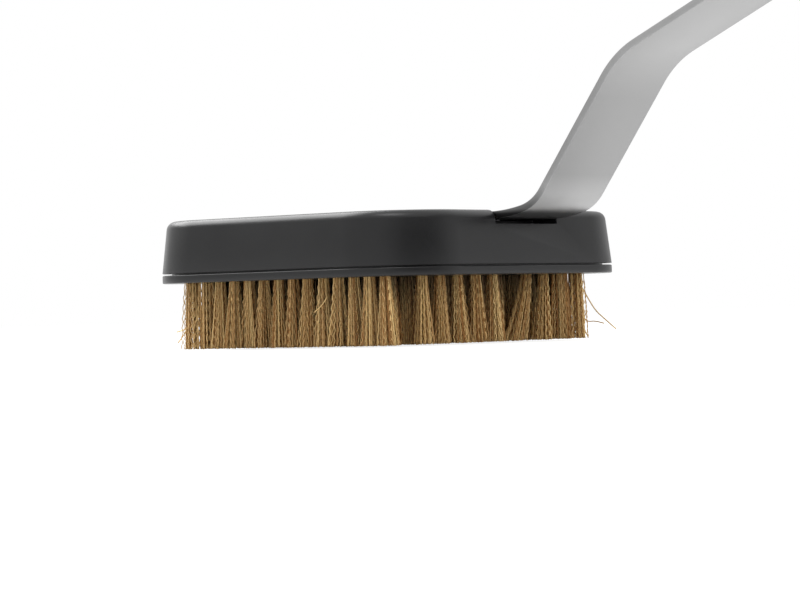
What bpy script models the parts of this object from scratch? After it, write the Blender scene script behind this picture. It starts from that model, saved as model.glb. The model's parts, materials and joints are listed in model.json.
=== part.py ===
"""Grill brush: a moulded head with brass bristles on a bent stainless steel strip.

X runs from the head to the grip, Y across the head and Z up from the bristle tips, in
metres. The origin is under the middle of the whole brush, on the plane of the tips.
"""

import math
import random

import bmesh
import bpy
from mathutils import Matrix, Vector

MM = 0.001
DEGREE = math.pi / 180

# Head, from the front edge to the back edge and from side to side
HEAD_LENGTH = 114.0 * MM
HEAD_WIDTH = 118.0 * MM
HEAD_CORNER = 25.4 * MM
HOUSING_HEIGHT = 16.4 * MM
HOUSING_LEAN = 1.6 * MM
HOUSING_EDGE = 2.5 * MM
HOUSING_WALL = 2.2 * MM
SHADOW_GAP = 0.55 * MM

# Bristle plate: a flange that shows, and a block on it that fills the housing's mouth
FLANGE_THICKNESS = 2.55 * MM
BLOCK_INSET = 3.0 * MM
BLOCK_CLEARANCE = 0.4 * MM

# Bristles: rows lie across the head, and each row sits on its own slice of the plate
BRISTLE_LENGTH = 20.9 * MM
ROWS = 14
COLUMNS = 12
FRONT_ROW_INSET = 16.25 * MM
BACK_ROW_INSET = 18.45 * MM
FIRST_COLUMN_INSET = 11.7 * MM
FIELD_MARGIN = 4.0 * MM
FIELD_CORNER = 8.0 * MM
SLICE_THICKNESS = 1.5 * MM
EMPTY_SITES = ((13, 1), (13, 7))
STRANDS_PER_TUFT = 2
STRAND_SIDES = 4
STRAND_ROOT_RADIUS = 0.72 * MM
STRAND_TIP_RADIUS = 1.15 * MM
STRAND_ROOT_SPACING = 1.6 * MM
STRAND_TIP_SPACING = 4.3 * MM
STRAND_TIP_DRIFT = 0.7 * MM
STRAND_EMBED = 0.8 * MM
TIP_TRIM = 0.5 * MM
BRISTLE_SEED = 7

# Handle strip: its upper face, followed from the root in the head to the far end
STRIP_WIDTH = 30.0 * MM
STRIP_THICKNESS = 2.2 * MM
STRIP_DROP = 0.55 * MM
SEAT_LENGTH = 53.0 * MM
BEND_INSET = 4.05 * MM
ROOT_CORNER = 3.0 * MM
EASING_RADIUS = 53.5 * MM
EASING_ANGLE = 13.0 * DEGREE
RISE_RADIUS = 12.65 * MM
RISE_ANGLE = 53.5 * DEGREE
RISE_STRAIGHT = 40.08 * MM
RETURN_RADIUS = 30.3 * MM
HANDLE_ANGLE = 24.1 * DEGREE
HANDLE_STRAIGHT = 236.0 * MM
NOTCH_DEPTH = 4.25 * MM
NOTCH_LENGTH = 10.5 * MM

# Fixing of the strip: countersunk screws into a plate under the housing's roof
SEAT_ROOF = 2.2 * MM
SEAT_RIM = 3.0 * MM
HANDLE_SCREWS = 2
HANDLE_SCREW_ROOT_INSET = 13.0 * MM
HANDLE_SCREW_BACK_INSET = 14.0 * MM
HANDLE_SCREW_RADIUS = 2.0 * MM
HANDLE_SCREW_HEAD_RADIUS = 3.5 * MM
HANDLE_SCREW_HEAD_EDGE = 0.1 * MM
HANDLE_SCREW_CONE = 1.5 * MM
HANDLE_SCREW_REACH = 2.3 * MM
HEX_SOCKET_RADIUS = 1.5 * MM
HEX_SOCKET_DEPTH = 1.3 * MM
CLAMP_END_MARGIN = 7.0 * MM
CLAMP_OVERLAP = 2.0 * MM
CLAMP_THICKNESS = 2.0 * MM
CLAMP_CORNER = 4.0 * MM

# Fixing of the bristle plate: pan head screws from beneath into bosses in the housing
PLATE_SCREW_END_INSET = 8.5 * MM
PLATE_SCREW_SIDE_INSET = 23.0 * MM
PLATE_SCREW_RADIUS = 1.5 * MM
PLATE_SCREW_HEAD_RADIUS = 2.8 * MM
PLATE_SCREW_HEAD_HEIGHT = 1.9 * MM
PLATE_SCREW_RECESS = 0.4 * MM
PLATE_SCREW_TIP_DEPTH = 2.3 * MM
BOSS_RADIUS = 3.6 * MM
RIB_OFFSET = 6.5 * MM
RIB_THICKNESS = 1.6 * MM
RIB_CLEARANCE = 1.4 * MM

# Grip: two moulded scales on the strip, riveted through it
GRIP_LENGTH = 124.0 * MM
GRIP_PROUD = 0.5 * MM
GRIP_SWELL = 3.0 * MM
GRIP_THICKNESS = 9.0 * MM
GRIP_END_RADIUS = 12.0 * MM
GRIP_EDGE = 5.0 * MM
RIVET_RADIUS = 2.5 * MM
RIVET_HEAD_RADIUS = 4.4 * MM
RIVET_HEAD_HEIGHT = 1.5 * MM
RIVET_SINK = 1.1 * MM
RIVET_END_DISTANCE = 19.0 * MM
RIVETS = 3
TAB_LENGTH = 27.0 * MM
HANG_HOLE_RADIUS = 6.0 * MM

# Clearances and how finely round shapes are divided
FIT_GAP = 0.3 * MM
OVERRUN = 2.0 * MM
MERGE = 0.01 * MM
PLAN_STEPS = 9
EDGE_STEPS = 4
ROUND_SIDES = 20
HEX_SIDES = 6
BEND_STEPS = 7
END_STEPS = 7
GRIP_STATIONS = 9
SHARP_ANGLE = 35 * DEGREE
SLOPE_LIMIT = 0.5
DOME_SHARE = 0.62

# Heights and places that follow from the sizes above
PLATE_BOTTOM = BRISTLE_LENGTH
FLANGE_TOP = PLATE_BOTTOM + FLANGE_THICKNESS
HOUSING_BOTTOM = FLANGE_TOP + SHADOW_GAP
HOUSING_TOP = HOUSING_BOTTOM + HOUSING_HEIGHT
ROOF_MIDDLE = HOUSING_TOP - HOUSING_WALL / 2
HEAD_BACK = HEAD_LENGTH / 2
HEAD_FRONT = -HEAD_LENGTH / 2
HEAD_SIDE = HEAD_WIDTH / 2
STRIP_TOP = HOUSING_TOP - STRIP_DROP
STRIP_UNDER = STRIP_TOP - STRIP_THICKNESS
SEAT_FLOOR = STRIP_UNDER - FIT_GAP
PAD_BOTTOM = SEAT_FLOOR - SEAT_ROOF
CLAMP_TOP = PAD_BOTTOM - FIT_GAP
CLAMP_BOTTOM = CLAMP_TOP - CLAMP_THICKNESS
HANDLE_SCREW_FOOT = CLAMP_BOTTOM - HANDLE_SCREW_REACH
BLOCK_TOP = HANDLE_SCREW_FOOT - BLOCK_CLEARANCE
BLOCK_HEIGHT = BLOCK_TOP - PLATE_BOTTOM
BOSS_BOTTOM = BLOCK_TOP + FIT_GAP
PLATE_SCREW_TIP = HOUSING_TOP - HOUSING_WALL - PLATE_SCREW_TIP_DEPTH
STRIP_START = HEAD_BACK - SEAT_LENGTH
ROOT_FLAT = SEAT_LENGTH - BEND_INSET
RIB_SPREAD = STRIP_WIDTH / 2 + RIB_OFFSET
ROW_PITCH = (HEAD_LENGTH - FRONT_ROW_INSET - BACK_ROW_INSET) / (ROWS - 1)
FIELD_MIDDLE = (FRONT_ROW_INSET - BACK_ROW_INSET) / 2
COLUMN_PITCH = (HEAD_WIDTH - 2 * FIRST_COLUMN_INSET) / (COLUMNS - 1)
GRIP_FRONT = HANDLE_STRAIGHT - TAB_LENGTH - GRIP_LENGTH
END_TURN = math.pi / (2 * END_STEPS + 1)
TIP_BLUNT = STRIP_WIDTH / 2 * (1 - math.sin(END_STEPS * END_TURN))
HANDLE_SCREW_RUN = SEAT_LENGTH - HANDLE_SCREW_ROOT_INSET - HANDLE_SCREW_BACK_INSET
HANDLE_SCREW_PLACES = [
    STRIP_START + HANDLE_SCREW_ROOT_INSET + HANDLE_SCREW_RUN * count / (HANDLE_SCREWS - 1)
    for count in range(HANDLE_SCREWS)
]
PLATE_SCREW_PLACES = [
    (along * (HEAD_BACK - PLATE_SCREW_END_INSET), side * (HEAD_SIDE - PLATE_SCREW_SIDE_INSET))
    for along in (-1, 1)
    for side in (-1, 1)
]
RIVET_SPACING = (GRIP_LENGTH - 2 * RIVET_END_DISTANCE) / (RIVETS - 1)
RIVET_PLACES = [
    GRIP_FRONT + RIVET_END_DISTANCE + RIVET_SPACING * count for count in range(RIVETS)
]


def clear_scene():
    for old in list(bpy.data.objects):
        bpy.data.objects.remove(old, do_unlink=True)


def new_collection(name):
    collection = bpy.data.collections.new(name)
    bpy.context.scene.collection.children.link(collection)
    return collection


def new_material(name, color, roughness, metallic):
    material = bpy.data.materials.new(name)
    material.use_nodes = True
    shader = material.node_tree.nodes["Principled BSDF"]
    shader.inputs["Base Color"].default_value = (*color, 1.0)
    shader.inputs["Roughness"].default_value = roughness
    shader.inputs["Metallic"].default_value = metallic
    return material


def new_empty(name, location, parent=None):
    empty = bpy.data.objects.new(name, None)
    empty.location = location
    empty.parent = parent
    PARTS.objects.link(empty)
    return empty


def finish_mesh(shape, name):
    mesh = bpy.data.meshes.new(name)
    bmesh.ops.recalc_face_normals(shape, faces=shape.faces)
    shape.to_mesh(mesh)
    shape.free()
    return mesh


def new_part(name, mesh, material, parent, location=(0, 0, 0)):
    part = bpy.data.objects.new(name, mesh)
    part.parent = parent
    part.location = location
    mesh.materials.append(material)
    PARTS.objects.link(part)
    return part


def new_helper(name, mesh, parent, location=(0, 0, 0)):
    """A solid that only cuts or joins another one."""
    helper = bpy.data.objects.new(name, mesh)
    helper.parent = parent
    helper.location = location
    helper.hide_render = True
    helper.display_type = "WIRE"
    HELPERS.objects.link(helper)
    return helper


def use_boolean(part, helper, operation):
    modifier = part.modifiers.new(operation.lower() + " " + helper.name, "BOOLEAN")
    modifier.operation = operation
    modifier.object = helper
    modifier.solver = "EXACT"


def cut(part, helper):
    use_boolean(part, helper, "DIFFERENCE")


def join(part, helper):
    use_boolean(part, helper, "UNION")


def smooth_round_faces(mesh):
    mesh.shade_smooth()
    mesh.set_sharp_from_angle(angle=SHARP_ANGLE)


def plain_block(length, width, height):
    """A box over the middle of its underside."""
    shape = bmesh.new()
    size = Matrix.Diagonal((length, width, height, 1))
    bmesh.ops.create_cube(shape, size=1, matrix=Matrix.Translation((0, 0, height / 2)) @ size)
    return shape


def block_mesh(name, length, width, height):
    return finish_mesh(plain_block(length, width, height), name)


def rounded_block(length, width, height, corner, steps=PLAN_STEPS):
    """A box with its upright edges rounded."""
    shape = plain_block(length, width, height)
    upright = [edge for edge in shape.edges if is_upright(edge)]
    bmesh.ops.bevel(
        shape, geom=upright, offset=corner, segments=steps, profile=0.5, affect="EDGES"
    )
    return shape


def is_upright(edge):
    run = edge.verts[1].co - edge.verts[0].co
    return abs(run.z) > max(abs(run.x), abs(run.y))


def rim_edges(shape, height):
    """The edges that lie at one height and border an upright face."""
    level = [e for e in shape.edges if all(abs(v.co.z - height) < MERGE for v in e.verts)]
    return [e for e in level if any(abs(f.normal.z) < SLOPE_LIMIT for f in e.link_faces)]


def round_rim(shape, height, radius, steps=EDGE_STEPS):
    shape.normal_update()
    bmesh.ops.bevel(
        shape,
        geom=rim_edges(shape, height),
        offset=radius,
        segments=steps,
        profile=0.5,
        affect="EDGES",
        clamp_overlap=True,
    )


def cylinder_mesh(name, radius, height, sides=ROUND_SIDES):
    """A cylinder over the middle of its underside."""
    shape = bmesh.new()
    bmesh.ops.create_cone(
        shape,
        cap_ends=True,
        segments=sides,
        radius1=radius,
        radius2=radius,
        depth=height,
        matrix=Matrix.Translation((0, 0, height / 2)),
    )
    return finish_mesh(shape, name)


def add_turning(part, sides=ROUND_SIDES):
    """Spins a profile of points in the XZ plane round the object's Z axis."""
    screw = part.modifiers.new("turned", "SCREW")
    screw.axis = "Z"
    screw.steps = sides
    screw.render_steps = sides
    screw.use_merge_vertices = True
    screw.merge_threshold = MERGE
    return screw


def profile_mesh(name, points):
    """An open line of (radius, height) points, from the top of the axis to its foot."""
    shape = bmesh.new()
    line = [shape.verts.new((radius, 0, height)) for radius, height in points]
    for upper, lower in zip(line, line[1:]):
        shape.edges.new((upper, lower))
    mesh = bpy.data.meshes.new(name)
    shape.to_mesh(mesh)
    shape.free()
    return mesh


def strip_runs():
    """(length, curvature) of each run of the strip's upper face, root first."""
    return (
        (ROOT_FLAT, 0.0),
        (EASING_RADIUS * EASING_ANGLE, 1 / EASING_RADIUS),
        (RISE_RADIUS * (RISE_ANGLE - EASING_ANGLE), 1 / RISE_RADIUS),
        (RISE_STRAIGHT, 0.0),
        (RETURN_RADIUS * (RISE_ANGLE - HANDLE_ANGLE), -1 / RETURN_RADIUS),
        (HANDLE_STRAIGHT, 0.0),
    )


def strip_point(distance):
    """(x, z, slope) of the strip's upper face at a distance along it from the root."""
    x, z, slope = STRIP_START, STRIP_TOP, 0.0
    for length, curvature in strip_runs():
        step = min(distance, length)
        turned = slope + curvature * step
        if curvature:
            x += (math.sin(turned) - math.sin(slope)) / curvature
            z += (math.cos(slope) - math.cos(turned)) / curvature
        else:
            x += step * math.cos(slope)
            z += step * math.sin(slope)
        slope = turned
        distance -= step
        if distance <= 0:
            break
    return x, z, slope


def strip_length():
    return sum(length for length, _ in strip_runs())


def strip_half_width(distance):
    """Half the strip's width, less where its root corners and its far end are round."""
    half = STRIP_WIDTH / 2
    from_end = strip_length() - distance
    if distance < ROOT_CORNER:
        run = ROOT_CORNER - distance
        return half - ROOT_CORNER + math.sqrt(ROOT_CORNER**2 - run**2)
    if from_end < half:
        return math.sqrt(max(half**2 - (half - from_end) ** 2, 0.0))
    return half


def strip_stations():
    """Distances along the strip at which its mesh has a row of points."""
    turns = [step / EDGE_STEPS * math.pi / 2 for step in range(EDGE_STEPS + 1)]
    stations = [ROOT_CORNER * (1 - math.cos(turn)) for turn in turns]
    start = 0.0
    for length, curvature in strip_runs():
        steps = BEND_STEPS if curvature else 1
        stations += [start + length * step / steps for step in range(1, steps + 1)]
        start += length
    rounded_length = STRIP_WIDTH / 2
    stations[-1] -= rounded_length
    for step in range(1, END_STEPS + 1):
        stations.append(strip_length() - rounded_length * (1 - math.sin(step * END_TURN)))
    return stations


def head_x():
    """Where the head's middle is, with the origin under the middle of the whole brush."""
    end_x, _, slope = strip_point(strip_length() - TIP_BLUNT)
    reach = end_x + STRIP_THICKNESS * math.sin(slope)
    return -(HEAD_FRONT + reach) / 2


def make_housing():
    shape = rounded_block(HEAD_LENGTH, HEAD_WIDTH, HOUSING_HEIGHT, HEAD_CORNER)
    for vert in shape.verts:
        if vert.co.z > HOUSING_HEIGHT / 2:
            vert.co.x *= 1 - 2 * HOUSING_LEAN / HEAD_LENGTH
            vert.co.y *= 1 - 2 * HOUSING_LEAN / HEAD_WIDTH
    round_rim(shape, HOUSING_HEIGHT, HOUSING_EDGE)
    mouth = [face for face in shape.faces if all(v.co.z < MERGE for v in face.verts)]
    bmesh.ops.delete(shape, geom=mouth, context="FACES_ONLY")
    rim = [edge for edge in shape.edges if edge.is_boundary]
    skirt = bmesh.ops.extrude_edge_only(shape, edges=rim)["geom"]
    lowered = [part for part in skirt if isinstance(part, bmesh.types.BMVert)]
    bmesh.ops.translate(shape, verts=lowered, vec=Vector((0, 0, -OVERRUN)))
    mesh = finish_mesh(shape, "housing")
    smooth_round_faces(mesh)
    housing = new_part("housing", mesh, BLACK_PLASTIC, HEAD, (0, 0, HOUSING_BOTTOM))
    wall = housing.modifiers.new("wall", "SOLIDIFY")
    wall.thickness = HOUSING_WALL
    wall.offset = -1
    wall.use_even_offset = True

    join(housing, seat_pad())
    for name, x, y in boss_places():
        height = ROOF_MIDDLE - BOSS_BOTTOM
        boss = cylinder_mesh(name, BOSS_RADIUS, height)
        join(housing, new_helper(name, boss, HEAD, (x, y, BOSS_BOTTOM)))
    for side in (-1, 1):
        join(housing, stiffening_rib(side))
    trim = block_mesh(
        "rim_trim", HEAD_LENGTH + 2 * OVERRUN, HEAD_WIDTH + 2 * OVERRUN, 2 * OVERRUN
    )
    cut(housing, new_helper("rim_trim", trim, HEAD, (0, 0, HOUSING_BOTTOM - 2 * OVERRUN)))
    cut(housing, strip_seat())
    cut(housing, strip_notch())
    for count, x in enumerate(HANDLE_SCREW_PLACES, 1):
        hole = cylinder_mesh("roof_hole", HANDLE_SCREW_RADIUS + FIT_GAP, HOUSING_HEIGHT)
        place = (x, 0, PAD_BOTTOM - OVERRUN)
        cut(housing, new_helper(f"roof_hole_{count}", hole, HEAD, place))
    for name, x, y in boss_places():
        depth = PLATE_SCREW_TIP - BLOCK_TOP + 2 * FIT_GAP
        pilot = cylinder_mesh("pilot", PLATE_SCREW_RADIUS + FIT_GAP, depth + OVERRUN)
        place = (x, y, BLOCK_TOP - OVERRUN)
        cut(housing, new_helper(name.replace("boss", "pilot"), pilot, HEAD, place))
    return housing


def boss_places():
    return [(f"boss_{n}", x, y) for n, (x, y) in enumerate(PLATE_SCREW_PLACES, 1)]


def seat_pad():
    """The thick part of the roof under the strip, as far as the back wall."""
    start = STRIP_START - SEAT_RIM
    end = HEAD_BACK - HOUSING_WALL
    width = STRIP_WIDTH + 2 * SEAT_RIM
    mesh = block_mesh("seat_pad", end - start, width, ROOF_MIDDLE - PAD_BOTTOM)
    return new_helper("seat_pad", mesh, HEAD, ((start + end) / 2, 0, PAD_BOTTOM))


def stiffening_rib(side):
    """A rib under the roof, from the front wall to the back wall."""
    bottom = BOSS_BOTTOM + RIB_CLEARANCE
    length = HEAD_LENGTH - 2 * HOUSING_WALL - HOUSING_LEAN
    mesh = block_mesh("rib", length, RIB_THICKNESS, ROOF_MIDDLE - bottom)
    return new_helper(f"rib_{side}", mesh, HEAD, (0, side * RIB_SPREAD, bottom))


def strip_seat():
    """The bed in the roof that the strip's root lies in."""
    length = SEAT_LENGTH + FIT_GAP + OVERRUN
    start = STRIP_START - FIT_GAP
    width = STRIP_WIDTH + 2 * FIT_GAP
    mesh = block_mesh("strip_seat", length, width, HOUSING_TOP - SEAT_FLOOR + OVERRUN)
    return new_helper("strip_seat", mesh, HEAD, (start + length / 2, 0, SEAT_FLOOR))


def strip_notch():
    """The deeper mouth of the bed, where the strip leaves through the back wall."""
    length = NOTCH_LENGTH + OVERRUN
    width = STRIP_WIDTH + 2 * FIT_GAP
    bottom = HOUSING_TOP - NOTCH_DEPTH
    mesh = block_mesh("strip_notch", length, width, NOTCH_DEPTH + OVERRUN)
    place = (HEAD_BACK - NOTCH_LENGTH + length / 2, 0, bottom)
    return new_helper("strip_notch", mesh, HEAD, place)


def make_bristle_plate():
    shape = rounded_block(HEAD_LENGTH, HEAD_WIDTH, FLANGE_THICKNESS, HEAD_CORNER)
    mesh = finish_mesh(shape, "bristle_plate")
    smooth_round_faces(mesh)
    plate = new_part("bristle_plate", mesh, BLACK_PLASTIC, HEAD, (0, 0, PLATE_BOTTOM))
    overlap = FLANGE_THICKNESS / 2
    block = rounded_block(
        HEAD_LENGTH - 2 * BLOCK_INSET,
        HEAD_WIDTH - 2 * BLOCK_INSET,
        BLOCK_HEIGHT - overlap,
        HEAD_CORNER - BLOCK_INSET,
    )
    block = finish_mesh(block, "block")
    join(plate, new_helper("plate_block", block, HEAD, (0, 0, PLATE_BOTTOM + overlap)))
    pocket = rounded_block(
        field_length() + 2 * FIT_GAP,
        field_width() + 2 * FIT_GAP,
        SLICE_THICKNESS + FIT_GAP + OVERRUN,
        FIELD_CORNER + FIT_GAP,
        EDGE_STEPS,
    )
    pocket = finish_mesh(pocket, "pocket")
    place = (FIELD_MIDDLE, 0, PLATE_BOTTOM - OVERRUN)
    cut(plate, new_helper("slice_pocket", pocket, HEAD, place))
    for count, (x, y) in enumerate(PLATE_SCREW_PLACES, 1):
        depth = PLATE_SCREW_RECESS + PLATE_SCREW_HEAD_HEIGHT + FIT_GAP
        sink = cylinder_mesh("sink", PLATE_SCREW_HEAD_RADIUS + FIT_GAP, depth + OVERRUN)
        place = (x, y, PLATE_BOTTOM - OVERRUN)
        cut(plate, new_helper(f"head_sink_{count}", sink, HEAD, place))
        bore = cylinder_mesh("bore", PLATE_SCREW_RADIUS + FIT_GAP, BLOCK_HEIGHT + 2 * OVERRUN)
        cut(plate, new_helper(f"plate_bore_{count}", bore, HEAD, place))
    return plate


def field_length():
    return ROWS * ROW_PITCH


def field_width():
    return (COLUMNS - 1) * COLUMN_PITCH + 2 * FIELD_MARGIN


def tuft_x(row):
    return FIELD_MIDDLE + (row - (ROWS - 1) / 2) * ROW_PITCH


def tuft_y(column):
    return (column - (COLUMNS - 1) / 2) * COLUMN_PITCH


def strand_ends(row, column, chance):
    """(root x, root y, tip x, tip y) of each strand of one tuft, which fans to its tip."""
    drift = chance.choice((-STRAND_TIP_DRIFT, STRAND_TIP_DRIFT))
    ends = []
    for strand in range(STRANDS_PER_TUFT):
        side = strand - (STRANDS_PER_TUFT - 1) / 2
        root_y = tuft_y(column) + side * STRAND_ROOT_SPACING
        tip_y = tuft_y(column) + side * STRAND_TIP_SPACING
        tip_x = tuft_x(row) + drift * (1 if side > 0 else -1)
        ends.append((tuft_x(row), root_y, tip_x, tip_y))
    return ends


def add_strand(shape, root_x, root_y, tip_x, tip_y):
    """A tapered strand from inside the slice to the tip plane, which trims it flat."""
    whole = BRISTLE_LENGTH + TIP_TRIM
    kept = BRISTLE_LENGTH / whole
    trimmed_x = root_x + (tip_x - root_x) * kept
    trimmed_y = root_y + (tip_y - root_y) * kept
    depth = BRISTLE_LENGTH + STRAND_EMBED
    lean = Matrix.Identity(4)
    lean[0][2] = (root_x - trimmed_x) / BRISTLE_LENGTH
    lean[1][2] = (root_y - trimmed_y) / BRISTLE_LENGTH
    raised = Matrix.Translation((0, 0, depth / 2))
    quarter = Matrix.Rotation(math.pi / STRAND_SIDES, 4, "Z")
    bmesh.ops.create_cone(
        shape,
        cap_ends=True,
        segments=STRAND_SIDES,
        radius1=STRAND_TIP_RADIUS,
        radius2=STRAND_ROOT_RADIUS,
        depth=depth,
        matrix=Matrix.Translation((trimmed_x, trimmed_y, 0)) @ lean @ raised @ quarter,
    )


def make_bristle_rows():
    """One node for each row: a slice of the plate's underside with its strands."""
    chance = random.Random(BRISTLE_SEED)
    strands = 0
    for row in range(ROWS):
        name = f"bristle_row_{row + 1:02d}"
        field = rounded_block(
            field_length(), field_width(), SLICE_THICKNESS, FIELD_CORNER, EDGE_STEPS
        )
        mesh = finish_mesh(field, name)
        part = new_part(name, mesh, BRASS, HEAD, (FIELD_MIDDLE, 0, PLATE_BOTTOM))
        band = block_mesh(
            "band",
            ROW_PITCH - FIT_GAP,
            field_width() + 2 * OVERRUN,
            SLICE_THICKNESS + 2 * OVERRUN,
        )
        place = (tuft_x(row), 0, PLATE_BOTTOM - OVERRUN)
        band_name = f"slice_band_{row + 1:02d}"
        use_boolean(part, new_helper(band_name, band, HEAD, place), "INTERSECT")
        shape = bmesh.new()
        for column in range(COLUMNS):
            for ends in strand_ends(row, column, chance):
                if (row, column) not in EMPTY_SITES:
                    add_strand(shape, *ends)
                    strands += 1
        bunch = finish_mesh(shape, "strands")
        join(part, new_helper(f"strands_{row + 1:02d}", bunch, HEAD))
    print("strands:", strands)


def make_handle_strip():
    shape = bmesh.new()
    rows = []
    for distance in strip_stations():
        x, z, _ = strip_point(distance)
        half = strip_half_width(distance)
        rows.append([shape.verts.new((x, side * half, z)) for side in (-1, 1)])
    for (near_a, far_a), (near_b, far_b) in zip(rows, rows[1:]):
        shape.faces.new((near_a, near_b, far_b, far_a))
    mesh = bpy.data.meshes.new("handle_strip")
    shape.to_mesh(mesh)
    shape.free()
    smooth_round_faces(mesh)
    strip = new_part("handle_strip", mesh, STAINLESS, HEAD)
    sheet = strip.modifiers.new("sheet", "SOLIDIFY")
    sheet.thickness = STRIP_THICKNESS
    sheet.offset = -1
    sheet.use_even_offset = True
    for count, x in enumerate(HANDLE_SCREW_PLACES, 1):
        sink = new_helper(f"strip_sink_{count}", countersink_mesh(), HEAD, (x, 0, STRIP_TOP))
        add_turning(sink)
        cut(strip, sink)
    for count, x in enumerate(RIVET_PLACES, 1):
        hole = cylinder_mesh("rivet_hole", RIVET_RADIUS + FIT_GAP, through_strip())
        place = (x, 0, -STRIP_THICKNESS - OVERRUN)
        cut(strip, new_helper(f"strip_hole_{count}", hole, HANDLE, place))
    hole = cylinder_mesh("hang_hole", HANG_HOLE_RADIUS, through_strip())
    place = (HANDLE_STRAIGHT - STRIP_WIDTH / 2, 0, -STRIP_THICKNESS - OVERRUN)
    cut(strip, new_helper("hang_hole", hole, HANDLE, place))
    return strip


def through_strip():
    return STRIP_THICKNESS + 2 * OVERRUN


def countersink_mesh():
    """A cutter for the screw's head and shank, with the fit's gap round both."""
    head = HANDLE_SCREW_HEAD_RADIUS + FIT_GAP
    shank = HANDLE_SCREW_RADIUS + FIT_GAP
    edge = -FIT_GAP - HANDLE_SCREW_HEAD_EDGE - FIT_GAP / 2
    neck = edge - HANDLE_SCREW_CONE
    foot = -STRIP_THICKNESS - OVERRUN
    return profile_mesh(
        "countersink",
        ((0, OVERRUN), (head, OVERRUN), (head, edge), (shank, neck), (shank, foot), (0, foot)),
    )


def make_handle_screws():
    """Countersunk screws, their heads a little below the strip's upper face."""
    head = HANDLE_SCREW_HEAD_RADIUS
    shank = HANDLE_SCREW_RADIUS
    top = -FIT_GAP
    edge = top - HANDLE_SCREW_HEAD_EDGE
    neck = edge - HANDLE_SCREW_CONE
    foot = HANDLE_SCREW_FOOT - STRIP_TOP
    point = shank / 2
    depth = HEX_SOCKET_DEPTH + OVERRUN
    for count, x in enumerate(HANDLE_SCREW_PLACES, 1):
        name = f"handle_screw_{count}"
        mesh = profile_mesh(
            name,
            ((0, top), (head, top), (head, edge), (shank, neck))
            + ((shank, foot + point), (point, foot), (0, foot)),
        )
        smooth_round_faces(mesh)
        screw = new_part(name, mesh, SCREW_STEEL, HEAD, (x, 0, STRIP_TOP))
        add_turning(screw)
        socket = cylinder_mesh("socket", HEX_SOCKET_RADIUS, depth, HEX_SIDES)
        place = (x, 0, STRIP_TOP + top - HEX_SOCKET_DEPTH)
        cut(screw, new_helper(f"hex_socket_{count}", socket, HEAD, place))


def make_clamp_plate():
    length = HANDLE_SCREW_RUN + 2 * CLAMP_END_MARGIN
    width = STRIP_WIDTH + 2 * CLAMP_OVERLAP
    shape = rounded_block(length, width, CLAMP_THICKNESS, CLAMP_CORNER, EDGE_STEPS)
    middle = sum(HANDLE_SCREW_PLACES) / HANDLE_SCREWS
    place = (middle, 0, CLAMP_BOTTOM)
    mesh = finish_mesh(shape, "clamp_plate")
    plate = new_part("clamp_plate", mesh, SCREW_STEEL, HEAD, place)
    for count, x in enumerate(HANDLE_SCREW_PLACES, 1):
        depth = CLAMP_THICKNESS + 2 * OVERRUN
        hole = cylinder_mesh("clamp_hole", HANDLE_SCREW_RADIUS + FIT_GAP, depth)
        bottom = CLAMP_BOTTOM - OVERRUN
        cut(plate, new_helper(f"clamp_hole_{count}", hole, HEAD, (x, 0, bottom)))


def make_plate_screws():
    """Pan head screws, their heads sunk in the plate's underside."""
    head = PLATE_SCREW_HEAD_RADIUS
    shank = PLATE_SCREW_RADIUS
    bottom = PLATE_BOTTOM + PLATE_SCREW_RECESS
    shoulder = bottom + PLATE_SCREW_HEAD_HEIGHT
    tip = PLATE_SCREW_TIP
    point = shank / 2
    depth = HEX_SOCKET_DEPTH + OVERRUN
    for count, (x, y) in enumerate(PLATE_SCREW_PLACES, 1):
        name = f"plate_screw_{count}"
        mesh = profile_mesh(
            name,
            ((0, tip), (point, tip), (shank, tip - shank), (shank, shoulder))
            + ((head, shoulder), (head, bottom + point), (head - point, bottom), (0, bottom)),
        )
        smooth_round_faces(mesh)
        screw = new_part(name, mesh, SCREW_STEEL, HEAD, (x, y, 0))
        add_turning(screw)
        socket = cylinder_mesh("socket", HEX_SOCKET_RADIUS, depth, HEX_SIDES)
        place = (x, y, bottom - OVERRUN)
        cut(screw, new_helper(f"plate_socket_{count}", socket, HEAD, place))


def grip_outline():
    """Points round a grip scale, as seen from above: round ends and swelling sides."""
    half = STRIP_WIDTH / 2 + GRIP_PROUD
    points = []
    for station in range(GRIP_STATIONS + 1):
        share = station / GRIP_STATIONS
        straight = GRIP_LENGTH - 2 * GRIP_END_RADIUS
        x = GRIP_END_RADIUS + straight * share
        swell = GRIP_SWELL * math.sin(math.pi * share) ** 2 / 2
        points.append((x, half + swell))
    turns = [math.pi / 2 * step / EDGE_STEPS for step in range(1, EDGE_STEPS + 1)]
    for turn in turns:
        x = GRIP_LENGTH - GRIP_END_RADIUS * (1 - math.sin(turn))
        points.append((x, half - GRIP_END_RADIUS * (1 - math.cos(turn))))
    for turn in turns:
        x = GRIP_END_RADIUS * (1 - math.sin(turn))
        points.insert(0, (x, half - GRIP_END_RADIUS * (1 - math.cos(turn))))
    return points + [(x, -y) for x, y in reversed(points)]


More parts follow.
